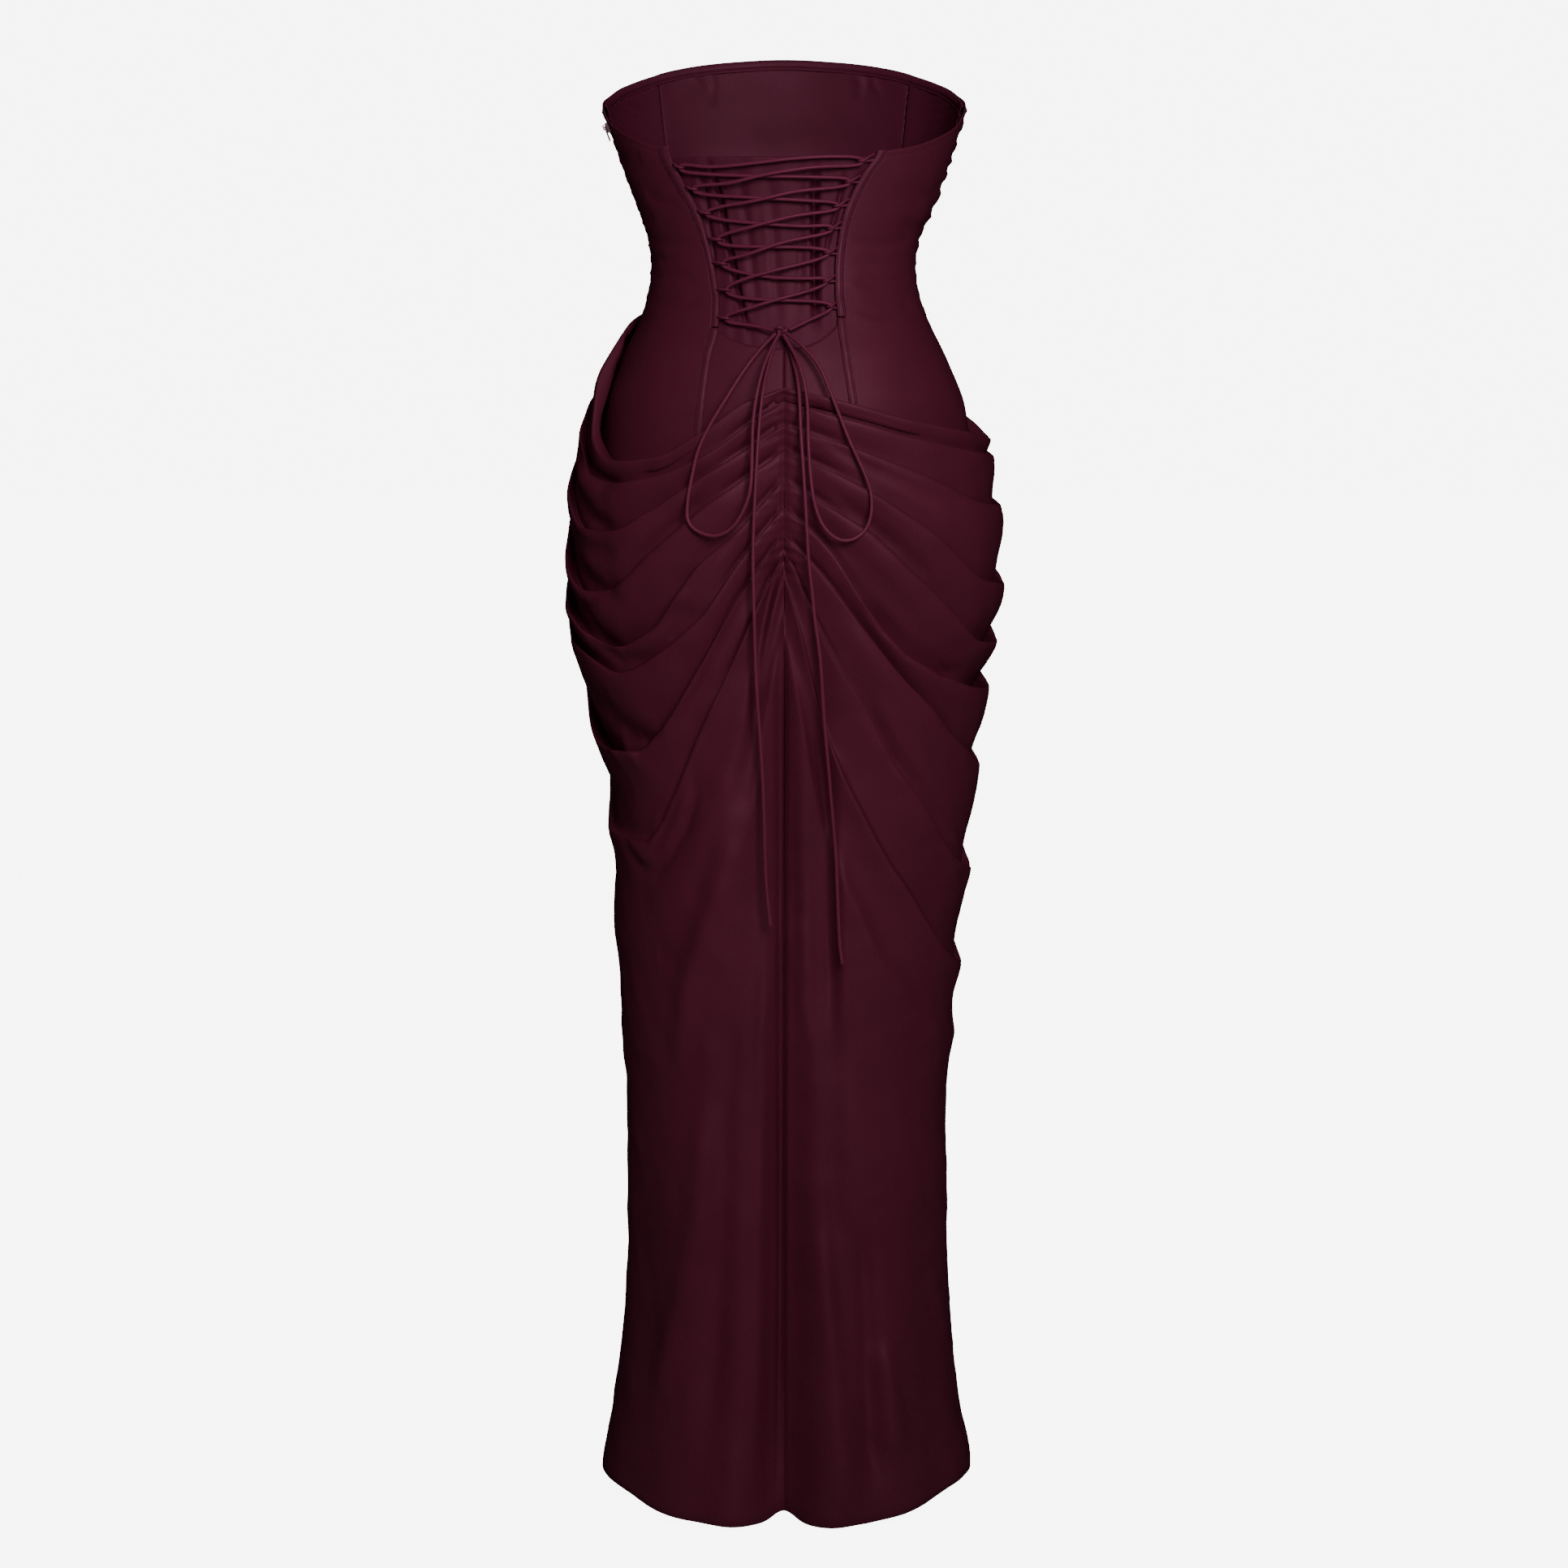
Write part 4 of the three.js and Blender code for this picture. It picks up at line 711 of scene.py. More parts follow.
def make_knot():
    """The lace passes round itself: a trefoil of the same cord, pulled tight."""
    turns = np.linspace(0, 2 * math.pi, 73)[:-1]
    across = 1.55 * (np.sin(turns) + 2 * np.sin(2 * turns))
    up = 1.3 * (np.cos(turns) - 2 * np.cos(2 * turns))
    out = -2.0 * np.sin(3 * turns)
    points = np.stack([KNOT[0] + across, KNOT[1] + out, KNOT[2] + up], axis=-1)
    knot = cord_piece("lace_knot_tied", points, LACE_WIDTH, lace_satin, closed=True)
    with picked(knot):
        bpy.ops.object.convert(target="MESH")
    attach(knot, BODY)
    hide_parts("lace_knot")


make_knot()


# Fabric loops: a narrow tube sewn into the casing's edge and bent round the lace
LOOP_REACH = LACE_WIDTH / 2 + LOOP_WIDTH / 2 + 0.5


def make_loop(node, root_x, root_z, tip_x, tip_z, spread):
    own = math.copysign(1, root_x)
    turn_x = tip_x + own * LOOP_REACH
    middle_x = mix(root_x, turn_x, 0.4)
    middle_z = mix(root_z, tip_z, 0.4)
    start_x = root_x + own * 1.2

    def place(x, z, out):
        return on_form(bodice_form, angle_at(bodice_form, x, z), z, out)

    points = [
        place(start_x, root_z - spread, 0.2),
        place(middle_x, middle_z - spread * 0.7, LACE_OUT - LOOP_REACH * 0.8),
        place(turn_x, tip_z - 0.5, LACE_OUT - LOOP_REACH),
        place(tip_x + own * 0.7, tip_z, LACE_OUT - LOOP_REACH * 0.74),
        place(tip_x - own * 0.2, tip_z, LACE_OUT),
        place(tip_x + own * 0.7, tip_z, LACE_OUT + LOOP_REACH * 0.74),
        place(turn_x, tip_z + 0.5, LACE_OUT + LOOP_REACH),
        place(middle_x, middle_z + spread * 0.7, LACE_OUT + LOOP_REACH * 0.75),
        place(start_x, root_z + spread, 1.2),
    ]
    loop = cord_piece(node + "_tube", rounded(points, 4), LOOP_WIDTH, lace_satin)
    with picked(loop):
        bpy.ops.object.convert(target="MESH")
    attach(loop, BODY)
    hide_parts(node)


for side, loop_rows, spread in (("left", LOOPS_LEFT, 0.9), ("right", LOOPS_RIGHT, 2.6)):
    for number, loop_row in enumerate(loop_rows, 1):
        make_loop("loop_%s_%d" % (side, number), *loop_row, spread)


# Skirt and drape
def fold_depth(fold, turned):
    across = smooth((turned - LEFT_SIDE) / FRONT_CENTRE)
    full = mix(fold[0], fold[1], across)
    return mix(CENTRE_BACK_DEPTH, full, smooth(from_centre_back(turned) / FULL_DEPTH_ANGLE))


def flute_depth(angle, z):
    depth = 0
    for top, hem, start, full, top_depth, hem_depth, width in FLUTES:
        down = (full - z) / (full - HEM)
        middle = mix(top, hem, np.clip(down, 0, 1))
        apart = from_centre_back(angle - middle)
        begun = smooth((start - z) / (start - full))
        size = np.where(z > full, top_depth, mix(top_depth, hem_depth, np.minimum(1, down)))
        depth = depth + size * begun * np.exp(-(apart / width) ** 2)
    return depth


# Crests are pointed at the centre back and eased round the sides and front: where that starts and how soon
CREST_EASE = 9
EASE_REACH = 20
EASED_ON_LEFT = (52, 26)
EASED_ON_RIGHT = (292, 22)


def crest_height(heights, turned):
    fine = np.arange(0, FULL_TURN + 1.0)
    reach = np.arange(-EASE_REACH, EASE_REACH + 1)
    weights = np.exp(-(reach / CREST_EASE) ** 2)
    measured = curve(STATIONS, heights, True)(fine)
    eased = np.convolve(np.pad(measured, EASE_REACH, mode="edge"), weights / weights.sum(), mode="valid")
    blend = smooth((fine - EASED_ON_LEFT[0]) / EASED_ON_LEFT[1])
    blend = blend * smooth((EASED_ON_RIGHT[0] - fine) / EASED_ON_RIGHT[1])
    return np.interp(turned, fine, mix(measured, eased, blend))


def folds_round(turned):
    """Each fold's crest height, depth and softness, at the angles given."""
    crests = []
    depths = []
    softness = []
    across = smooth((turned - LEFT_SIDE) / FRONT_CENTRE)
    uneven = smooth(from_centre_back(turned) / 25)
    for order, fold in enumerate(FOLDS):
        crests.append(crest_height(fold[2], turned) + 1.3 * uneven * ripple(turned, 3, seed=20 + order))
        softness.append(mix(SOFTNESS_LEFT[order], SOFTNESS_RIGHT[order], across))
        ease = mix(EASE_LEFT[order], EASE_RIGHT[order], across)
        varied = 1 + 0.2 * uneven * ripple(turned, 2, seed=40 + order)
        depths.append(ease * fold_depth(fold, turned) * varied)
    return crests, depths, softness


# The drape's rolled top edge: how far below the crest, how far in, share of the lean toward the basque
ROLL_PROFILE = [(12, 3.2, 1), (6, 2.8, 0.97), (1.6, 2.2, 0.6), (0.2, 1.3, 0.25)]
ROLL_CLEARANCE = 2                      # it stops this far from the basque
# Degrees from the centre back where the rolled edge starts to lean, and over how many the lean grows
ROLL_LEANS_FROM = (32, 26)
ROLL_SLITS = [(69, 5), (89, 3)]         # it stays half open at these angles, over these half widths


def rolled_edge_rows(turned, crest):
    apart = on_form(skirt_form, turned, crest, 0) - on_form(bodice_form, turned, crest, 0)
    lean = np.linalg.norm(apart, axis=-1) - ROLL_CLEARANCE
    leaning = smooth((from_centre_back(turned) - ROLL_LEANS_FROM[0]) / ROLL_LEANS_FROM[1])
    for slit, width in ROLL_SLITS:
        leaning = leaning * (1 - 0.5 * np.exp(-((turned - slit) / width) ** 2))
    return [(crest - down, mix(inset, np.maximum(inset, lean * share), leaning))
            for down, inset, share in ROLL_PROFILE]


def fold_rows(crests, depths, softness):
    """Rows down each fold, from its crest into the pocket behind the next one."""
    rows = []
    for order in range(len(FOLDS) - 1):
        gap = crests[order] - crests[order + 1]
        pocket = np.minimum(0.6 * depths[order] + 1.5 * smooth(depths[order] / 5), 0.32 * gap)
        pocket = pocket * (1 - softness[order])
        for step, (down, behind, fall) in enumerate(FOLD_PROFILE):
            even = step / len(FOLD_PROFILE)
            wave = math.sin(math.pi * even ** 0.8) ** 2
            height = crests[order] - gap * mix(down, even, softness[order]) - behind * pocket
            rows.append((height, mix(fall, wave, softness[order]) * depths[order]))
    return rows


LOWER_ROWS = 58
HEM_DROP = 3                            # the cloth's hem hangs this far below the solid's
HEM_RISE = 22                           # higher by this at the sides
HEM_NOTCH = 9                           # and by this at the centre back, between its two lobes
HEM_PROFILE = [(-0.5, 0.7), (0.8, 1.9), (12, 2.2), (24, 2.2)]


def lower_rows(turned, crest, depth):
    """Rows from the last fold down to the hem, round it and up inside."""
    hem = HEM - HEM_DROP + HEM_RISE * smooth(np.abs(np.sin(np.radians(turned))) ** 2)
    hem = hem + HEM_NOTCH * np.exp(-(from_centre_back(turned) / 3.5) ** 2)
    rows = []
    for row in range(LOWER_ROWS):
        down = row / (LOWER_ROWS - 1)
        rows.append((mix(crest, hem, down), depth * math.sin(math.pi * min(1, down * 3))))
    for up, inset in HEM_PROFILE:
        rows.append((hem + up, np.full(turned.shape, inset)))
    return rows


RUCHED_FROM = -104
RUCHED_DOWN_TO = -300
RUCHING_PITCH = 8.5
TUCK_LEFT = 5.0
TUCK_RIGHT = 3.4
TUCK_ABOVE = 2.4
SEAM_GROOVE = 1.6


def centre_back_ruching(angle, z, crests):
    """How far the centre-back seam draws the cloth in: small gathers, a tuck over each fold, and a groove."""
    from_seam = from_centre_back(angle)
    ruched = smooth((RUCHED_FROM - z) / 12) * smooth((z - RUCHED_DOWN_TO) / 40)
    waves = 2 * math.pi * (z + from_seam * 1.6) / RUCHING_PITCH + 1.5 * np.sin(z / 17)
    inward = 1.3 * ruched * (0.5 + 0.5 * np.sin(waves)) * np.exp(-(from_seam / 6.5) ** 2)
    beside = smooth((from_seam - 0.6) / 2) * smooth((17 - from_seam) / 9)
    tuck = beside * np.where(angle > 0, TUCK_LEFT, TUCK_RIGHT)
    for crest in crests[1:8]:
        above = z - crest - TUCK_ABOVE
        inward = inward + tuck * np.exp(-(above / np.where(above > 0, 3.0, 1.1)) ** 2)
    return inward + SEAM_GROOVE * smooth((-100 - z) / 20) * np.exp(-(from_seam / 0.7) ** 2)


SKIRT_MM_PER_DEGREE = 2.8


def skirt_grid(angles, creases):
    """Rows of points from inside the drape's top edge, fold by fold, down to inside the hem."""
    turned = angles % FULL_TURN
    crests, depths, softness = folds_round(turned)
    rows = rolled_edge_rows(turned, crests[0]) + fold_rows(crests, depths, softness)
    rows += lower_rows(turned, crests[-1], depths[-1])
    z = np.array([height for height, _ in rows])
    inset = np.array([inset for _, inset in rows])
    angle = np.broadcast_to(angles, z.shape)
    by_seam = smooth(np.abs(np.cos(np.radians(turned))) / 0.2)
    out = by_seam * crease_field(angle, z, creases, SKIRT_MM_PER_DEGREE)
    out += 0.55 * wander(angle * SKIRT_MM_PER_DEGREE, z, 46, seed=5)
    out -= inset + flute_depth(angle % FULL_TURN, z) + centre_back_ruching(angle, z, crests)
    return on_form(skirt_form, angle, z, out)


def make_skirt(node, angles, creases):
    points = skirt_grid(angles, creases)
    past_seam(points, angles[0], 0, 1)
    past_seam(points, angles[-1], -1, -1)
    piece = cloth_from_grid(node + "_cloth", points, SKIRT_CLOTH, satin_crepe)
    finish_cloth(piece, node)
    return points


SKIRT_COLUMNS = 150
FRONT_COLUMNS = 181
left_angles = LEFT_SIDE * np.linspace(0, 1, SKIRT_COLUMNS) ** 1.35     # closer together near the centre back
right_angles = -left_angles[::-1]
make_skirt("skirt_back_left", left_angles, BACK_CREASES)
right_skirt = make_skirt("skirt_back_right", right_angles, BACK_CREASES)
make_skirt("skirt_front", np.linspace(LEFT_SIDE, RIGHT_SIDE, FRONT_COLUMNS), FRONT_CREASES)


# Front of the bodice: ruched outside, lining inside
BODICE_MM_PER_DEGREE = 2.6
SIDE_TOP = 142                          # height of the top edge at the side seams
CALMER = 0.6                            # share of the gathers' depth that the side seams take away


def gather_field(angles, z, top):
    """How far the front's gathers stand out, also where they run on past the side seams."""
    u = angles * BODICE_MM_PER_DEGREE
    near_centre = np.abs(np.cos(np.radians(angles)))
    slant = GATHER_SLANT * near_centre * np.sin(math.pi * np.clip((top - z) / (top - RUCHED_TO), 0, 1))
    gathered = (top - z - slant) / (top - RUCHED_TO) * GATHERS
    settled = smooth((z - RUCHED_TO + 10) / 45) * smooth((top - z) / 8)
    bend = 0.45 * ripple(angles, 3, seed=61) + 0.35 * wander(u, z, 60, seed=7)
    wave = 0.5 - 0.5 * np.cos(2 * math.pi * (gathered + bend))
    fine = 0.5 - 0.5 * np.cos(2 * math.pi * (gathered * 2.6 + 1.7 * bend + 0.3))
    at_side = 1 - smooth(np.minimum(angles - LEFT_SIDE, RIGHT_SIDE - angles) / 40)
    size = GATHER_DEPTH * mix(1, 0.6, near_centre) * (1 + 0.3 * wander(u, z, 80, seed=8))
    by_left = np.exp(-((angles - LEFT_SIDE) / 22) ** 2)
    by_right = np.exp(-((angles - RIGHT_SIDE) / 22) ** 2) * smooth((20 - z) / 30)
    size = size * (1 - CALMER * (by_left + by_right))
    return settled * (size * wave ** 1.2 * 0.8 + mix(0.3, 0.6, at_side) * fine)


def turned_in(points, angles, top, below, inside, edge):
    """The rows of an outer piece, with its top edge turned over to the inside before them."""
    inner = on_form(bodice_form, angles, top - below, np.full(len(angles), -inside))
    over = on_form(bodice_form, angles, top + 0.1, np.full(len(angles), -edge))
    return np.concatenate([inner[None], over[None], points], axis=0)


def make_front_bodice(rows=190, columns=161):
    share = np.linspace(0, 1, columns)
    crowded = mix(share, 0.5 - 0.5 * np.cos(math.pi * share), 0.6)
    angles = mix(LEFT_SIDE, RIGHT_SIDE, crowded)
    top = top_edge(angles)
    z = mix(top, BASQUE_END, np.linspace(0, 1, rows)[:, None])
    angle = angles[None, :] + 0 * z
    points = on_form(bodice_form, angle, z, gather_field(angle, z, top) - 0.2)
    points = turned_in(points, angles, top, 2.5, 2.1, 1.3)
    past_seam(points, LEFT_SIDE, 0, 1)
    past_seam(points, RIGHT_SIDE, -1, -1)
    piece = cloth_from_grid("front_bodice_ruched", points, BODICE_CLOTH, satin_crepe)
    finish_cloth(piece, "front_bodice")


make_front_bodice()


def lining_seam_angle(side):
    seam = curve([row[0] for row in LINING_SEAM], [side * row[1] for row in LINING_SEAM])
    return lambda z: angle_at(bodice_form, seam(z), z, True)


def side_puckers(angle, z, from_seam):
    """The lining's side pieces are drawn in along the side seam and their front seam."""
    from_side = np.maximum(0, np.minimum(angle - LEFT_SIDE, RIGHT_SIDE - angle))
    uneven = 5 * wander(angle * BODICE_MM_PER_DEGREE, z, 70, seed=15)
    waves = np.sin(2 * math.pi * (z + 0.9 * from_side + uneven) / 9.5) - 0.8
    by_side = (0.5 + 0.9 * np.exp(-(from_side / 22) ** 2)) * waves * smooth((z + 100) / 60)
    return by_side + 0.5 * (np.sin(2 * math.pi * z / 6.5) - 0.8) * np.exp(-(from_seam / 4) ** 2)


def centre_puckers(angle, z):
    """The lining's centre piece is a little gathered under the band."""
    tucked = smooth((z - top_edge(angle) + 36) / 28)
    waves = np.sin(np.radians(angle * 16) + 0.9 * np.sin(np.radians(angle * 5))) - 0.6
    return 0.45 * tucked * waves + 0.9 * crease_field(angle, z, LINING_CREASES, BODICE_MM_PER_DEGREE)


def make_lining(place, start, end, columns, rows=110):
    share = np.linspace(0, 1, columns)[None, :]
    step = np.linspace(0, 1, rows)[:, None]
    z = mix(150, BASQUE_END, step) + 0 * share
    for _ in range(4):
        angle = mix(start(z), end(z), share)
        z = mix(top_edge(angle) - BAND_HEIGHT + 0.4, BASQUE_END, step)
    out = LINING_FACE + 0.25 * wander(angle * BODICE_MM_PER_DEGREE, z, 50, seed=13)
    if place == "centre":
        out += centre_puckers(angle, z)
    else:
        front_seam = end(z) if place == "left" else start(z)
        out += side_puckers(angle, z, np.abs(angle - front_seam))
    out += 0.5 * np.exp(-(np.minimum(share, 1 - share) * 60) ** 2)
    node = "front_lining_" + place
    piece = cloth_from_grid(node + "_cloth", on_form(bodice_form, angle, z, out), BODICE_CLOTH, satin_inside)
    finish_cloth(piece, node)


PAST_SEAM = 1.5                         # the linings run this many degrees on behind the side seams
seam_left = lining_seam_angle(1)
seam_right = lining_seam_angle(-1)
make_lining("left", lambda z: LEFT_SIDE - PAST_SEAM + 0 * z, lambda z: seam_left(z) - 0.1, 50)
make_lining("centre", lambda z: seam_left(z) + 0.1, lambda z: seam_right(z) - 0.1, 90)
make_lining("right", lambda z: seam_right(z) + 0.1, lambda z: RIGHT_SIDE + PAST_SEAM + 0 * z, 50)


# The band inside the top edge: how far down, how far out
BAND_PROFILE = [
    (0.0, -2.4), (0.25, -3.2), (0.8, -3.9), (4, -4.6), (6.6, -4.6), (7.1, -4.1), (7.6, -4.7), (8.6, -4.9),
    (8.9, -3.3),
]


def make_band():
    angles = np.linspace(LEFT_SIDE - 2.5, RIGHT_SIDE + 2.5, 165)
    top = top_edge(angles)
    pucker = 0.18 * np.sin(np.radians(angles * 47)) * np.sin(np.radians(angles * 31))
    rows = [on_form(bodice_form, angles, top - down, out + pucker) for down, out in BAND_PROFILE]
    piece = cloth_from_grid("neckline_band_front_cloth", np.array(rows), NARROW_CLOTH, satin_inside)
    finish_cloth(piece, "neckline_band_front")


make_band()

# Back of the bodice: each side's direction, casing and seam below it
SIDES = {"left": (1, CASING_LEFT, SEAM_BELOW_LEFT), "right": (-1, CASING_RIGHT, SEAM_BELOW_RIGHT)}
STITCHED_BELOW_EDGE = 5


def edges_of(casing):
    heights = [row[0] for row in casing]
    return curve(heights, [row[1] for row in casing]), curve(heights, [row[2] for row in casing])


def make_back_side(side, rows=130, columns=90):
    own, casing, below = SIDES[side]
    _, outer = edges_of(casing)
    seam = curve(*zip(*below))
    casing_end = below[0][0]

    def edge_angle(z):
        blend = smooth((casing_end + 4 - z) / 8)
        x = mix(outer(z) + own * 0.2, seam(z) + own * (SEAM_IN_CHANNEL + 0.1), blend)
        return angle_at(bodice_form, x, z)

    share = 1 - (1 - np.linspace(0, 1, columns)[None, :]) ** 1.2
    step = np.linspace(0, 1, rows)[:, None]
    z = mix(100, BASQUE_END, step) + 0 * share
    for _ in range(4):
        angle = mix(edge_angle(z), own * LEFT_SIDE, share)
        z = mix(top_edge(angle), BASQUE_END, step)
    out = crease_field(angle, z, SIDE_CREASES, 2.3) + 0.35 * wander(angle * 2.3, z, 55, seed=21)
    at_side = np.exp(-((LEFT_SIDE - np.abs(angle)) / 6) ** 2)
    side_angle = float(LEFT_SIDE if own > 0 else RIGHT_SIDE)
    out = mix(out, gather_field(np.full(z.shape, side_angle), z, SIDE_TOP) - 0.2, at_side)
    out -= 0.5 * np.exp(-((top_edge(angle) - z - STITCHED_BELOW_EDGE) / 0.7) ** 2)
    points = turned_in(on_form(bodice_form, angle, z, out), angle[0], z[0], 7, 2.3, 1.1)
    past_seam(points, own * LEFT_SIDE, -1, -own)
    piece = cloth_from_grid("back_side_%s_cloth" % side, points, BODICE_CLOTH, satin_crepe)
    finish_cloth(piece, "back_side_" + side)


# Casings and channels: share of the width, how far out
STRIP_PROFILE = [
    (0.0, -1.6), (0.0, -0.4), (0.02, 0.5), (0.07, 1.0), (0.13, 1.12), (0.17, 0.85), (0.21, 1.15),
    (0.33, 1.45), (0.5, 1.6), (0.67, 1.45), (0.79, 1.15), (0.83, 0.85), (0.87, 1.12), (0.93, 1.0),
    (0.98, 0.5), (1.0, -0.4), (1.0, -1.6),
]


def strip_grid(heights, first, second, lift, drop):
    z = np.array(heights)[:, None]
    columns = []
    for share, out in STRIP_PROFILE:
        x = mix(first(z), second(z), share)
        level = max(out, drop) + lift
        bump = 0.12 * np.sin(z / 3.1 + 2 * share) * (0.02 < share < 0.98)
        columns.append(on_form(bodice_form, angle_at(bodice_form, x, z), z, level + bump)[:, 0])
    return np.stack(columns, axis=1)


STITCH_GAP = 0.55
STITCH_SIDES = 6
# Share of a stitch along it, share of its radius
STITCH_RINGS = [(0, 0.25), (0.15, 0.9), (0.5, 1.0), (0.85, 0.9), (1, 0.25)]


def stitch_row(points, normals, pitch, radius):
    """Short thread stitches along a line, as six-sided beads half sunk in the cloth."""
    steps = np.linalg.norm(np.diff(points, axis=0), axis=1)
    walked = np.concatenate([[0], np.cumsum(steps)])

    def read(track, at):
        return np.array([np.interp(at, walked, track[:, axis]) for axis in range(3)])

    vertices = []
    faces = []
    half = (pitch - STITCH_GAP) / 2
    at = pitch / 2
    while at < walked[-1] - pitch / 2:
        start, end = read(points, at - half), read(points, at + half)
        up = read(normals, at)
        up /= np.linalg.norm(up)
        cross = np.cross((end - start) / np.linalg.norm(end - start), up)
        first = len(vertices)
        for share, size in STITCH_RINGS:
            middle = mix(start, end, share) + up * radius * (0.9 * size - 0.25)
            for corner in range(STITCH_SIDES):
                turn = corner / STITCH_SIDES * 2 * math.pi
                vertices.append(middle + radius * size * (cross * math.cos(turn) + up * math.sin(turn)))
        for ring in range(len(STITCH_RINGS) - 1):
            for corner in range(STITCH_SIDES):
                a = first + ring * STITCH_SIDES + corner
                b = first + ring * STITCH_SIDES + (corner + 1) % STITCH_SIDES
                faces.append((a, a + STITCH_SIDES, b + STITCH_SIDES, b))
        last = len(vertices) - STITCH_SIDES
        faces.append(tuple(range(first, first + STITCH_SIDES)))
        faces.append(tuple(reversed(range(last, last + STITCH_SIDES))))
        at += pitch
    return vertices, faces


def make_stitching(name, lines, pitch=2.6, radius=0.22):
    vertices = []
    faces = []
    for points, normals in lines:
        more, sides = stitch_row(points, normals, pitch, radius)
        faces.extend(tuple(index + len(vertices) for index in side) for side in sides)
        vertices.extend(more)
    mesh = bpy.data.meshes.new(name)
    mesh.from_pydata((np.array(vertices) * MM).tolist(), [], faces)
    mesh.shade_smooth()
    piece = link_piece(name, mesh, thread)
    with picked(piece):
        bpy.ops.object.mode_set(mode="EDIT")
        bpy.ops.mesh.select_all(action="SELECT")
        bpy.ops.mesh.normals_make_consistent(inside=False)
        bpy.ops.object.mode_set(mode="OBJECT")
    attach(piece, BODY)


def line_on_bodice(x_of, heights, out):
    z = np.array(heights, float)
    angle = angle_at(bodice_form, x_of(z), z)
    points = on_form(bodice_form, angle, z, out)
    return points, on_form(bodice_form, angle, z, out + 1) - points


def make_casing(side):
    _, casing, below = SIDES[side]
    inner, outer = edges_of(casing)
    top = float(top_edge(angle_at(bodice_form, outer(101.5), 101.5)))
    heights = np.linspace(top + 0.2, below[0][0], 90)
    grid = strip_grid(heights, inner, outer, 0, -1.6)
    piece = cloth_from_grid("casing_%s_cloth" % side, grid, THIN_CLOTH, casing_satin)
    finish_cloth(piece, "casing_" + side)
    lines = [line_on_bodice(lambda z, share=share: mix(inner(z), outer(z), share), heights[2:-1], 0.95)
             for share in (0.17, 0.83)]
    make_stitching("casing_stitching_" + side, lines)


CHANNEL_END = {"left": -162, "right": -138}


def make_channel(side):
    own, _, below = SIDES[side]
    middle = curve(*zip(*below))
    heights = np.linspace(below[0][0] - 0.9, CHANNEL_END[side], 50)

    def beside(share):
        return lambda z: middle(z) + own * CHANNEL_HALF * share

    grid = strip_grid(heights, beside(-1), beside(1), 0.5, -0.3)
    piece = cloth_from_grid("channel_lower_%s_cloth" % side, grid, NARROW_CLOTH, casing_satin)
    finish_cloth(piece, "channel_lower_" + side)
    lines = [line_on_bodice(beside(share), heights[2:-1], 1.4) for share in (-0.66, 0.66)]
    make_stitching("channel_stitching_" + side, lines)


V_SLOPE = 2.4                           # how the edge under the lacing rises from its point to the casings
V_STITCHED_BELOW = 3.5


def make_back_centre(side, rows=60, columns=40):
    """The panel below the lacing. Gives the line that its V edge is stitched along."""
    own, _, below = SIDES[side]
    seam = curve(*zip(*below))
    corner = below[0][0] - 0.3
    share = np.linspace(0, 1, columns)[None, :]
    top = mix(TOP_OF_V, corner, share ** V_SLOPE)
    z = mix(top, BASQUE_END, np.linspace(0, 1, rows)[:, None])
    x = mix(0, seam(z) + own * (SEAM_IN_CHANNEL - 0.1), share)
    angle = angle_at(bodice_form, x, z)
    out = 0.3 * wander(x, z, 40, seed=31) - 0.9 * np.exp(-(x / 1.2) ** 2)
    out -= 0.45 * np.exp(-((top - z - V_STITCHED_BELOW) / 0.6) ** 2)
    points = turned_in(on_form(bodice_form, angle, z, out), angle[0], z[0], 5, 2.2, 1.1)
    past_seam(points, 0, 0, own)
    piece = cloth_from_grid("back_centre_%s_cloth" % side, points, BODICE_CLOTH, satin_crepe)
    finish_cloth(piece, "back_centre_" + side)
    across = np.linspace(1.5, float(seam(corner)) * own - 1.5, 40) * own
    reach = float(seam(corner) + own * SEAM_IN_CHANNEL)
    height = mix(TOP_OF_V, corner, (across / reach) ** V_SLOPE) - V_STITCHED_BELOW
    angle = angle_at(bodice_form, across, height)
    points = on_form(bodice_form, angle, height, -0.35)
    return points, on_form(bodice_form, angle, height, 0.65) - points


def make_modesty(rows=90, columns=150):
    inner_left, _ = edges_of(CASING_LEFT)
    inner_right, _ = edges_of(CASING_RIGHT)
    share = np.linspace(0, 1, columns)[None, :]
    z = mix(91.5, TOP_OF_V - 16, np.linspace(0, 1, rows)[:, None]) + 0 * share
    x = mix(inner_left(z) + 4.6, inner_right(z) - 4.6, share)
    angle = angle_at(bodice_form, x, z)
    out = crease_field(angle, z, MODESTY_CREASES, 2.1) + 0.5 * wander(x * 2.4, z * 0.5, 45, seed=37)
    out += -PANEL - 2.2
    uneven = 4 * np.sin(z / 55) + 5 * wander(x, z * 0.4, 90, seed=39)
    out = np.minimum(out + 0.14 * np.sin(2 * math.pi * (x + uneven) / 15), -PANEL - 1.2)
    points = on_form(bodice_form, angle, z, out)
    piece = cloth_from_grid("modesty_panel_cloth", points, THIN_CLOTH, satin_inside)
    finish_cloth(piece, "modesty_panel")


for make_piece in (make_back_side, make_casing, make_channel):
    for side in SIDES:
        make_piece(side)
v_edges = [make_back_centre(side) for side in SIDES]
make_modesty()
make_stitching("opening_stitching", v_edges)


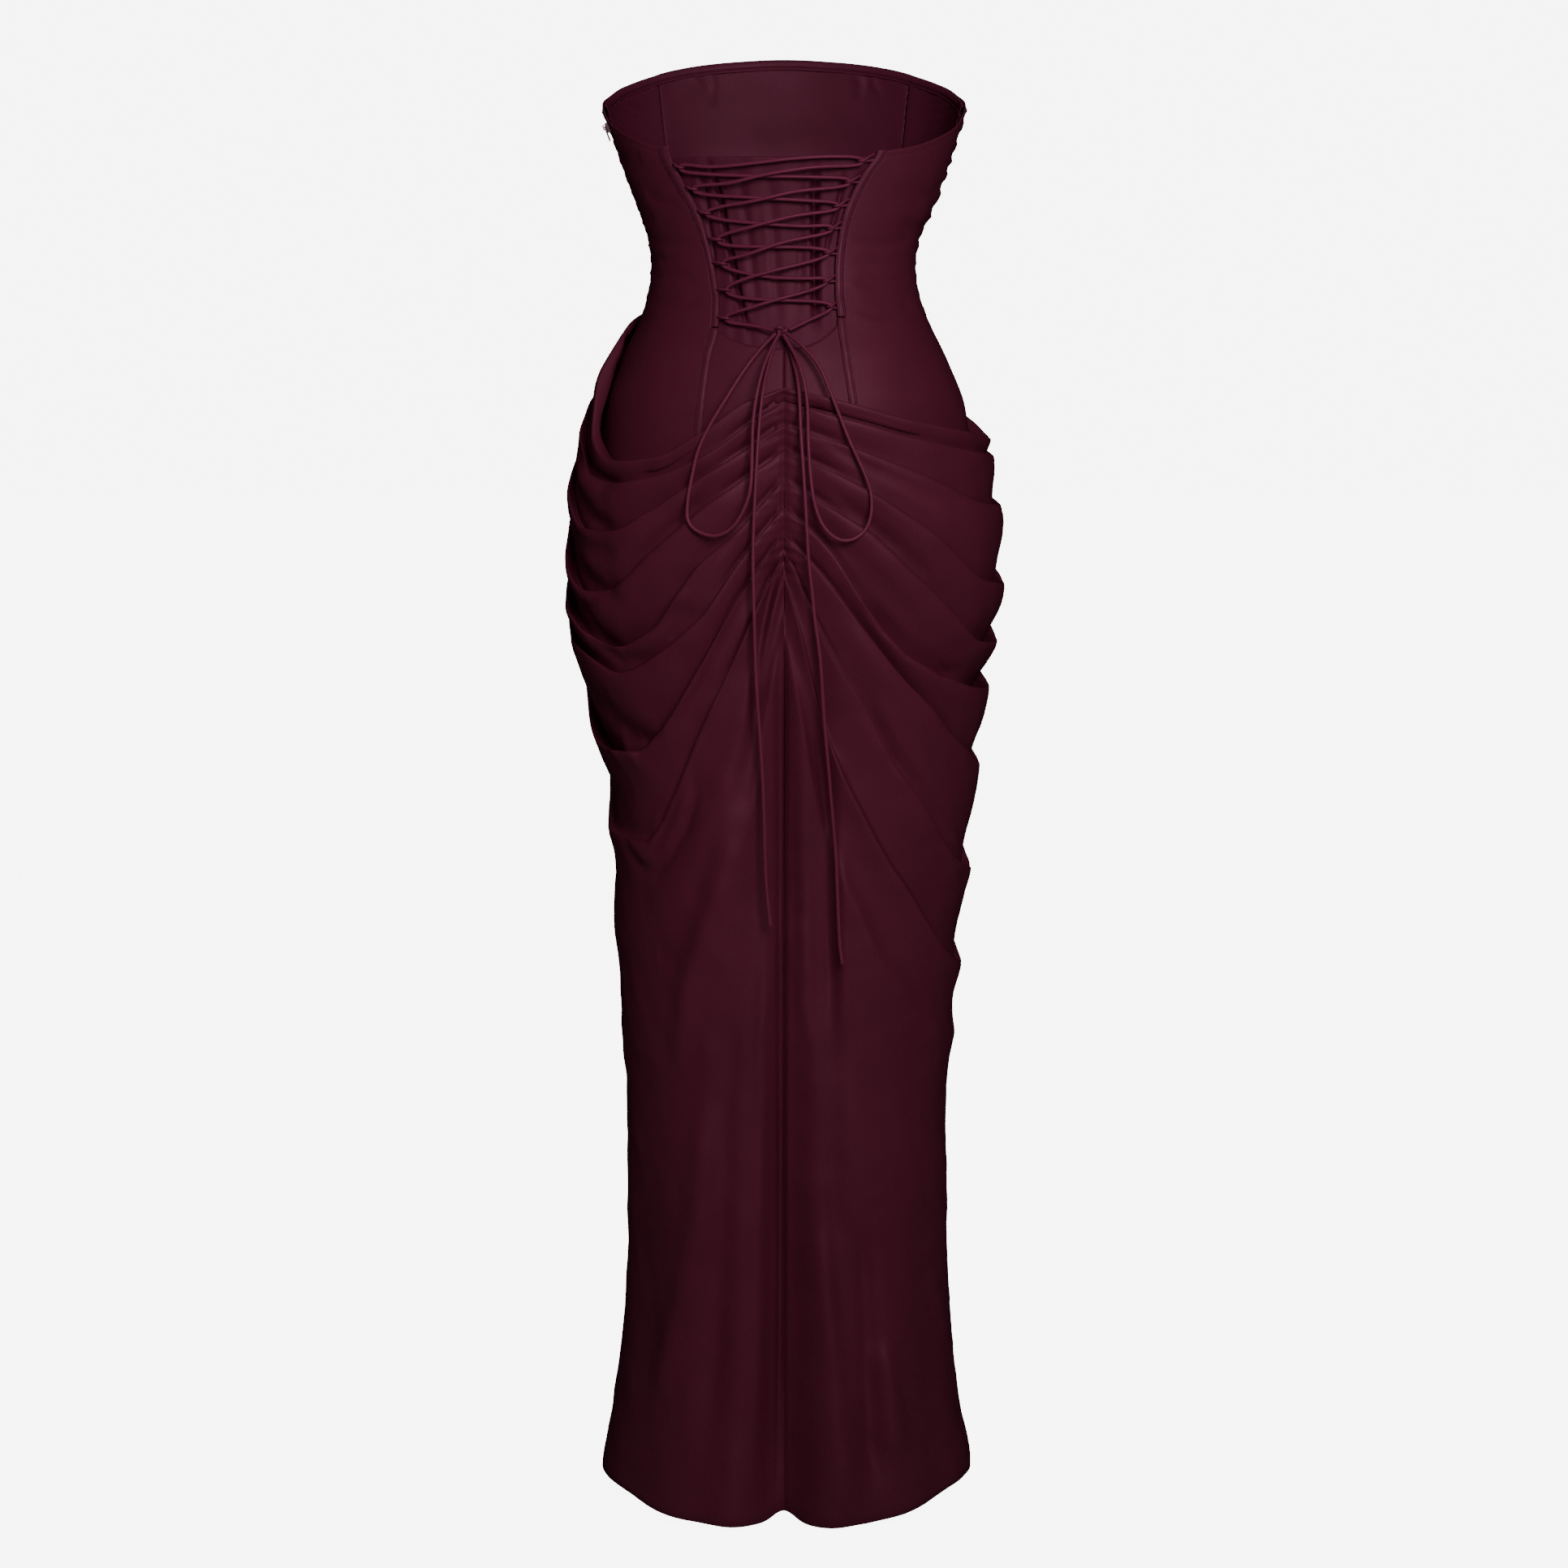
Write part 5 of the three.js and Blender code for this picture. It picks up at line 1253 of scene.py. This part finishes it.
def neckline_stitching():
    lines = []
    left_corner = float(angle_at(bodice_form, 108, 101))
    right_corner = float(angle_at(bodice_form, -88, 98))
    for start, end in ((left_corner, 88), (-88, right_corner)):
        angles = np.linspace(start, end, 60)
        z = top_edge(angles) - STITCHED_BELOW_EDGE
        points = on_form(bodice_form, angles, z, -0.4)
        lines.append((points, on_form(bodice_form, angles, z, 0.6) - points))
    angles = np.linspace(LEFT_SIDE + 1, RIGHT_SIDE - 1, 150)
    z = top_edge(angles) - 6.9
    points = on_form(bodice_form, angles, z, -4.25)
    lines.append((points, points - on_form(bodice_form, angles, z, -3.25)))
    make_stitching("neckline_stitching", lines)


def skirt_seam_stitching():
    """Two rows of stitches beside the centre-back seam, low on the skirt."""
    lines = []
    for beside in (-1.5, -2.5):
        column = int(np.argmin(np.abs(right_angles - beside)))
        heights = right_skirt[:, column, 2]
        rows = np.nonzero((heights < -900) & (heights > -1055))[0]
        across = right_skirt[rows, column + 1] - right_skirt[rows, column - 1]
        down = right_skirt[rows + 1, column] - right_skirt[rows - 1, column]
        normal = np.cross(across, down)
        normal *= np.sign(normal[:, 1:2])
        lines.append((right_skirt[rows, column], normal / np.linalg.norm(normal, axis=1, keepdims=True)))
    make_stitching("skirt_seam_stitching", lines)


# Zip, closed, in the left side seam
def make_zip():
    """The coil is sunk in the seam, and the CAD slider and tab keep their shape and get the metal."""
    heights = np.linspace(122, -45, 120)
    out = gather_field(np.full(120, float(LEFT_SIDE)), heights, SIDE_TOP)
    points = on_form(bodice_form, LEFT_SIDE, heights, out - 0.5)
    outward = on_form(bodice_form, LEFT_SIDE, heights, out + 0.9) - points
    make_stitching("zip_coil", [(points, outward)], pitch=1.25, radius=0.5)
    for zip_part in ("zip_slider", "zip_pull"):
        finishes = nodes[zip_part].data.materials
        finishes.clear()
        finishes.append(zip_metal)


neckline_stitching()
skirt_seam_stitching()
make_zip()


# Floor and light
PAPER_WHITE = 7
FLOOR_SIZE = 60
BELOW_HEM = 0.008
FLOOR_LIGHT = 0.06
BACKDROP_LIGHT = 0.18
# Place, aim, size in metres, watts, spread in degrees, whether the cloth's gloss shows it
LIGHTS = {
    "key": ((-0.6, 2.3, 0.7), (0, 0, -0.14), 1.1, 15.5, 72, True),
    "fill": ((1.8, 1.6, 0.3), (0, 0, -0.2), 0.9, 5.5, 180, False),
    "front": ((0.6, -2.6, 1.6), (0, 0, -0.2), 1.4, 22, 180, False),
    "above": ((0, -0.6, 3.4), (0, -0.6, -1.1), 3.0, 12, 180, False),
}


def seen_level(tree, lighting, socket):
    """One strength for the light it gives, none in reflections, and paper white where it is seen."""
    path = tree.nodes.new("ShaderNodeLightPath")
    given = value_node(tree, "ShaderNodeMapRange", (-400, -200), To_Min=lighting, To_Max=0)
    tree.links.new(path.outputs["Is Glossy Ray"], given.inputs["Value"])
    level = value_node(tree, "ShaderNodeMapRange", (-200, -200), To_Max=PAPER_WHITE)
    tree.links.new(given.outputs["Result"], level.inputs["To Min"])
    tree.links.new(path.outputs["Is Camera Ray"], level.inputs["Value"])
    tree.links.new(level.outputs["Result"], socket)


def make_floor():
    bpy.ops.mesh.primitive_plane_add(size=FLOOR_SIZE, location=(0, 0, HEM * MM - BELOW_HEM))
    floor = bpy.context.object
    floor.name = "floor"
    finish, tree, shader = new_finish("pale_floor")
    shader.inputs["Base Color"].default_value = (0.95, 0.95, 0.95, 1)
    shader.inputs["Roughness"].default_value = 0.9
    shader.inputs["Emission Color"].default_value = (1, 1, 1, 1)
    seen_level(tree, FLOOR_LIGHT, shader.inputs["Emission Strength"])
    floor.data.materials.append(finish)
    floor.visible_glossy = False


def make_backdrop():
    world = bpy.data.worlds.new("studio")
    world.use_nodes = True
    backdrop = world.node_tree.nodes["Background"]
    backdrop.inputs["Color"].default_value = (1, 1, 1, 1)
    seen_level(world.node_tree, BACKDROP_LIGHT, backdrop.inputs["Strength"])
    bpy.context.scene.world = world


def soft_light(name, place, aim, size, power, spread, glossy):
    data = bpy.data.lights.new(name, "AREA")
    data.size = size
    data.energy = power
    data.spread = math.radians(spread)
    light = bpy.data.objects.new(name, data)
    light.location = place
    light.visible_glossy = glossy
    light.rotation_euler = (Vector(aim) - Vector(place)).to_track_quat("-Z", "Y").to_euler()
    bpy.context.scene.collection.objects.link(light)


make_floor()
make_backdrop()
for light_name, light_row in LIGHTS.items():
    soft_light(light_name, *light_row)
